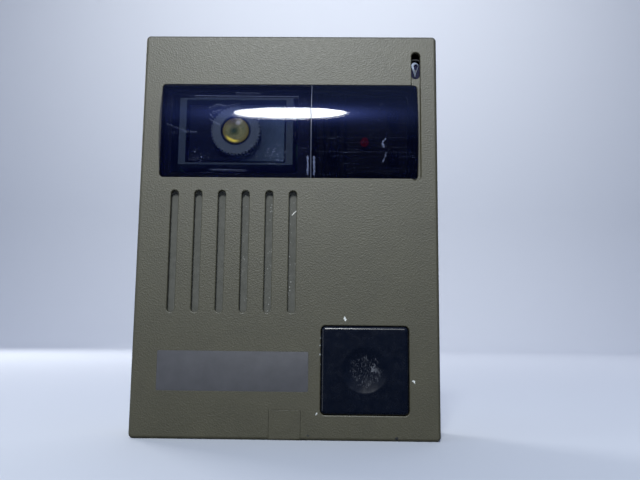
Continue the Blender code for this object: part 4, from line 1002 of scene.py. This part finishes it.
# Each kind of screw is the side its head is on, the head's height and the shank's radius.
SCREWS = {"frame_screw": (-1, 1.6, 1.1), "speaker_screw": (-1, 1.6, 1.1), "board_screw": (1, 1.7, 1.2),
          "fixing_screw": (1, 2.2, 1.75), "lock_screw": (1, 1.9, 1.6)}
THREAD_PITCH = 0.8
THREAD_DEPTH = 0.22
HEAD_ROUND = 0.5
RECESS_DEPTH = 0.55
RECESS_REACH = 0.6
RECESS_HALF = 0.3


def kind_of(node):
    """A node's name without its number."""
    return node.rstrip("0123456789").rstrip("_")


def thread(top, bottom, radius):
    """Ridges from the top height down to the bottom one."""
    count = max(1, int((top - bottom) / THREAD_PITCH))
    pitch = (top - bottom) / count
    ridges = []
    for number in range(count):
        crest = top - number * pitch
        ridges += [(radius, crest), (radius - THREAD_DEPTH, crest - pitch / 2)]
    return ridges + [(radius, bottom)]


def make_screw(node, side, head, radius):
    """A pan head with a cross recess, and a shank with thread ridges."""
    span, (low, high), _ = spans(node)
    x, z = centre_of(node)
    face = high if side > 0 else low
    wide = (span[1] - span[0]) / 2
    round_off = head * HEAD_ROUND
    dome = arc((wide - round_off, -round_off), round_off, 90, 0, 6)
    shank = thread(-head, low - high, radius) + [(0, low - high)]
    outline = [(0, 0)] + dome + [(wide, -head)] + shank
    screw = turned(node + "_fine", [(r, face + side * h) for r, h in outline], x, z, steps=40)
    recess = about(face, head * RECESS_DEPTH)
    # Each screw stops at its own angle, taken from the letters of its name.
    turn = (sum(ord(letter) for letter in node) % 9) * 10
    place = Matrix.Translation(Vector((x, 0, z)) * MM)
    for name, angle in (("slot_across", turn), ("slot_along", turn + 90)):
        slot = block(name, about(0, wide * RECESS_REACH), recess, about(0, RECESS_HALF))
        slot.matrix_world = place @ Matrix.Rotation(math.radians(angle), 4, "Y") @ slot.matrix_world
        screw = combined(screw, "DIFFERENCE", slot)
    stand_in(screw, node)


def make_screws():
    for node in frame["nodes"]:
        if kind_of(node) in SCREWS:
            make_screw(node, *SCREWS[kind_of(node)])


COVER_FILL = 0.22
COVER_THICKNESS = 1.5
COVER_ROUND = 0.9
LIP_SUNK = 0.75


def make_screw_cover():
    """The slide-in cover over the fixing screw, with hairline seams."""
    x, height, z = spans("screw_cover")
    wide = grown(x, COVER_FILL)
    cover = block("screw_cover_fine", wide, (height[1] - COVER_THICKNESS, height[1]),
                  (z[0], z[1] + COVER_FILL))
    lip = block("cover_lip", wide, (height[0], height[1] - LIP_SUNK), (z[0], z[0] + COVER_THICKNESS))
    cover = combined(cover, "UNION", lip)
    centre = (height[1] - COVER_ROUND, z[0] + COVER_ROUND)
    corner = [(centre[0], z[0] - PAST), (height[1] + PAST, z[0] - PAST), (height[1] + PAST, centre[1])]
    edge = extruded("cover_edge", corner + arc(centre, COVER_ROUND, 0, -90, 10), grown(x, PAST))
    stand_in(eased(combined(cover, "DIFFERENCE", edge), 0.1), "screw_cover")


PANEL_CORNER = 2.0
PANEL_EDGE = 1.4
PANEL_RIM = 0.35
FRONT_WALL = 2.5
SIDE_WALL = 2.2
CAVITY_CORNER = 1.0
GAP = 0.3
BUTTON_MARGIN = -0.9
BUTTON_CORNER = 2.1
PLATE_DEPTH = 0.7
PLATE_CORNER = 0.6
COVER_DEPTH = 1.8
LIP_FLOOR = 32.7
POCKET_RADIUS = 3.9
POCKET_FLOOR = 33.4
GROOVE_HALF = 1.95
GROOVE_DEPTH = 0.8
GROOVE_CORNER = 1.9
GROOVE_Z = (22.4, 81.4)
MIC_HOLE_Z = (69.3, 81.4)
MEMBRANE_MARGIN = (4.2, 2.4)
SLOT_COUNT = 6
SLOT_HALF = 1.65
SLOT_CORNER = SLOT_HALF - 0.02
CRISP_MARGIN = 1.0


def make_front_panel():
    """The painted shell with finely rounded openings; the bosses behind it come from the CAD."""
    x, height, z = spans("front_panel")
    shell = block("front_panel_shell", x, height, z, corner=PANEL_CORNER, edge=PANEL_EDGE)
    front = height[1]
    behind = front - FRONT_WALL

    def cut(name, x, z, floor=behind - PAST, corner=0.0, steps=8):
        """A cutter from its floor out past the front."""
        return block(name, x, (floor, front + PAST), z, corner=corner, corner_steps=steps)

    camera_x, _, window_z = spans("camera_window")
    window_x = (camera_x[0] + FLANGE_MARGIN - GAP, spans("lamp_window")[0][1] - FLANGE_MARGIN + GAP)
    button_x, _, button_z = spans("call_button")
    plate_x, _, plate_z = spans("name_plate")
    cover_x, _, cover_z = spans("screw_cover")
    cover_x = grown(cover_x, GAP)
    cloth_x, _, cloth_z = spans("speaker_membrane")
    slots_x = grown(cloth_x, -MEMBRANE_MARGIN[0])
    slots_z = grown(cloth_z, -MEMBRANE_MARGIN[1])
    slot_gap = (slots_x[1] - slots_x[0]) / (SLOT_COUNT - 1)
    groove_x = about(centre_of("microphone_capsule")[0], GROOVE_HALF)
    below = z[0] - PAST
    tools = [
        block("cavity", grown(x, -SIDE_WALL), (height[0] - PAST, behind), grown(z, -SIDE_WALL),
              corner=CAVITY_CORNER),
        cut("window_opening", window_x, grown(window_z, -FLANGE_MARGIN), corner=WINDOW_CORNER),
        cut("button_opening", grown(button_x, BUTTON_MARGIN), grown(button_z, BUTTON_MARGIN),
            corner=BUTTON_CORNER),
        cut("plate_recess", grown(plate_x, GAP), grown(plate_z, GAP), front - PLATE_DEPTH, PLATE_CORNER),
        cut("cover_recess", cover_x, (below, cover_z[1] + GAP), front - COVER_DEPTH),
        cut("lip_recess", cover_x, (below, z[0] + COVER_DEPTH), LIP_FLOOR),
        pin("head_pocket", POCKET_RADIUS, front, POCKET_FLOOR, *centre_of("fixing_screw")),
        cut("groove", groove_x, GROOVE_Z, front - GROOVE_DEPTH, GROOVE_CORNER),
        cut("microphone_hole", groove_x, MIC_HOLE_Z, corner=GROOVE_CORNER),
    ]
    tools += [cut(f"slot_{number + 1}", about(slots_x[0] + slot_gap * number, SLOT_HALF), slots_z,
                  corner=SLOT_CORNER, steps=12) for number in range(SLOT_COUNT)]
    shell = combined(shell, "DIFFERENCE", *tools)
    crisp = [(grown(plate_x, CRISP_MARGIN), grown(plate_z, CRISP_MARGIN)),
             (grown(cover_x, CRISP_MARGIN), (below, cover_z[1] + CRISP_MARGIN))]
    stand_in(rimmed(shell, PANEL_RIM, crisp), "front_panel")
    bosses = from_cad("front_panel", 0.0)
    room = block("room", grown(x, -SIDE_WALL - 0.1), (height[0], behind - 0.05), grown(z, -SIDE_WALL - 0.1))
    bosses = combined(bosses, "INTERSECT", room)
    bosses.name = "front_panel_bosses"
    settle(bosses, "front_panel")


CUSTOM = {"camera_window", "lamp_window", "call_button", "focus_ring", "lens_barrel", "lens_glass",
          "microphone_capsule", "name_plate", "screw_cover", "front_panel", "button_spring", *LAMPS}
FINISH_OF = {"inner_frame": FRAME_BLACK, "camera_yoke": YOKE_PAINT, "lamp_board": BLACK_LAMINATE,
             "tilt_pin_left": BLACKED_STEEL, "tilt_pin_right": BLACKED_STEEL}
EDGE_OF = {"wall_gasket": 0.3, "rear_case": 0.3, "speaker_cone": 0.0, "inner_frame": 0.2}
EDGE = 0.12


def make_from_cad():
    """Every other node gets its finer copy."""
    for node in frame["nodes"]:
        if node not in CUSTOM and kind_of(node) not in SCREWS:
            stand_in(from_cad(node, EDGE_OF.get(node, EDGE)), node, FINISH_OF.get(node))


# -------- studio and camera

AIM = (0.0, -0.04, 0.045)
SWEEP_NEAR = -6.0
SWEEP_WALL = 2.2
SWEEP_RADIUS = 0.5
SWEEP_TOP = 3.4
SWEEP_HALF = 30.0
SWEEP_STEPS = 12
AIR_COLOUR = (0.36, 0.52, 1.0)
AIR_LOW = 0.04
AIR_HIGH = 0.42


def area_light(name, place, target, size, power, colour=(1, 1, 1), shape="RECTANGLE"):
    data = bpy.data.lights.new(name, "AREA")
    data.shape = shape
    data.size = size[0]
    data.size_y = size[1]
    data.energy = power
    data.color = colour
    lamp = linked(name, data)
    lamp.location = place
    lamp.rotation_euler = (Vector(target) - Vector(place)).to_track_quat("-Z", "Y").to_euler()


def make_sweep():
    """A pale floor that curves up into a wall far behind."""
    floor_z = cad_box[0].z
    curve = arc((SWEEP_WALL - SWEEP_RADIUS, floor_z + SWEEP_RADIUS), SWEEP_RADIUS, -90, 0, SWEEP_STEPS)
    sweep = [(SWEEP_NEAR, floor_z)] + curve + [(SWEEP_WALL, SWEEP_TOP)]
    verts = [(x, y, z) for y, z in sweep for x in (-SWEEP_HALF, SWEEP_HALF)]
    faces = [(2 * i, 2 * i + 1, 2 * i + 3, 2 * i + 2) for i in range(len(sweep) - 1)]
    mesh = bpy.data.meshes.new("studio_sweep")
    mesh.from_pydata(verts, [], faces)
    mesh.shade_smooth()
    floor = put("studio_sweep", mesh)
    mesh.materials.append(Finish("studio_pale", (0.62, 0.65, 0.7), 0.9).material)
    floor.visible_glossy = False


def make_studio():
    """The floor, one lamp high in front, soft fill from the left and behind, and a dim bluish room."""
    make_sweep()
    area_light("key_lamp", (-0.071, -1.02, 0.755), AIM, (0.242, 0.31), 12.5, (0.95, 0.99, 1.0), "ELLIPSE")
    area_light("side_fill", (-1.1, -0.45, 0.1), AIM, (0.4, 1.0), 1.8, (0.85, 0.92, 1.0))
    area_light("back_fill", (-1.0, 1.0, 0.7), AIM, (0.6, 0.6), 9.0)
    area_light("backdrop_wash", (0.0, 0.9, 1.7), (0.0, 2.2, 0.5), (1.6, 0.6), 26.0)
    bpy.context.scene.world = make_air()


def make_air():
    """A dim room: bluish light from above and almost none from below."""
    world = bpy.data.worlds.new("studio_air")
    world.use_nodes = True
    tree = world.node_tree
    place = tree.nodes.new("ShaderNodeTexCoord").outputs["Generated"]
    split = tree.nodes.new("ShaderNodeSeparateXYZ")
    tree.links.new(place, split.inputs[0])
    ramp = tuned(tree.nodes.new("ShaderNodeMapRange"), From_Max=0.9, To_Min=AIR_LOW, To_Max=AIR_HIGH)
    tree.links.new(split.outputs["Z"], ramp.inputs["Value"])
    background = tuned(tree.nodes["Background"], Color=(*AIR_COLOUR, 1.0))
    tree.links.new(ramp.outputs["Result"], background.inputs["Strength"])
    return world


LENS_LENGTH = 38.81
SENSOR_WIDTH = 36.0
CAMERA_PLACE = (0.01877, -0.33494, -0.04526)
CAMERA_TURN = (97.857, -0.608, 0.794)


def make_camera():
    """A camera close in front and low, tilted up at the panel."""
    data = bpy.data.cameras.new("view_camera")
    data.lens = LENS_LENGTH
    data.sensor_width = SENSOR_WIDTH
    data.clip_start = 0.01
    camera = linked("view_camera", data)
    camera.location = CAMERA_PLACE
    camera.rotation_euler = [math.radians(a) for a in CAMERA_TURN]
    bpy.context.scene.camera = camera


make_window("camera_window", outer_left=True)
make_window("lamp_window", outer_left=False, material=DARK_SMOKE)
make_button()
make_focus_ring()
make_lens()
make_lamps()
make_spring()
make_microphone()
make_name_plate()
make_front_panel()
make_seam()
make_louvre()
make_screws()
make_screw_cover()
make_from_cad()
make_studio()
make_camera()
bpy.context.scene.view_settings.view_transform = "Standard"
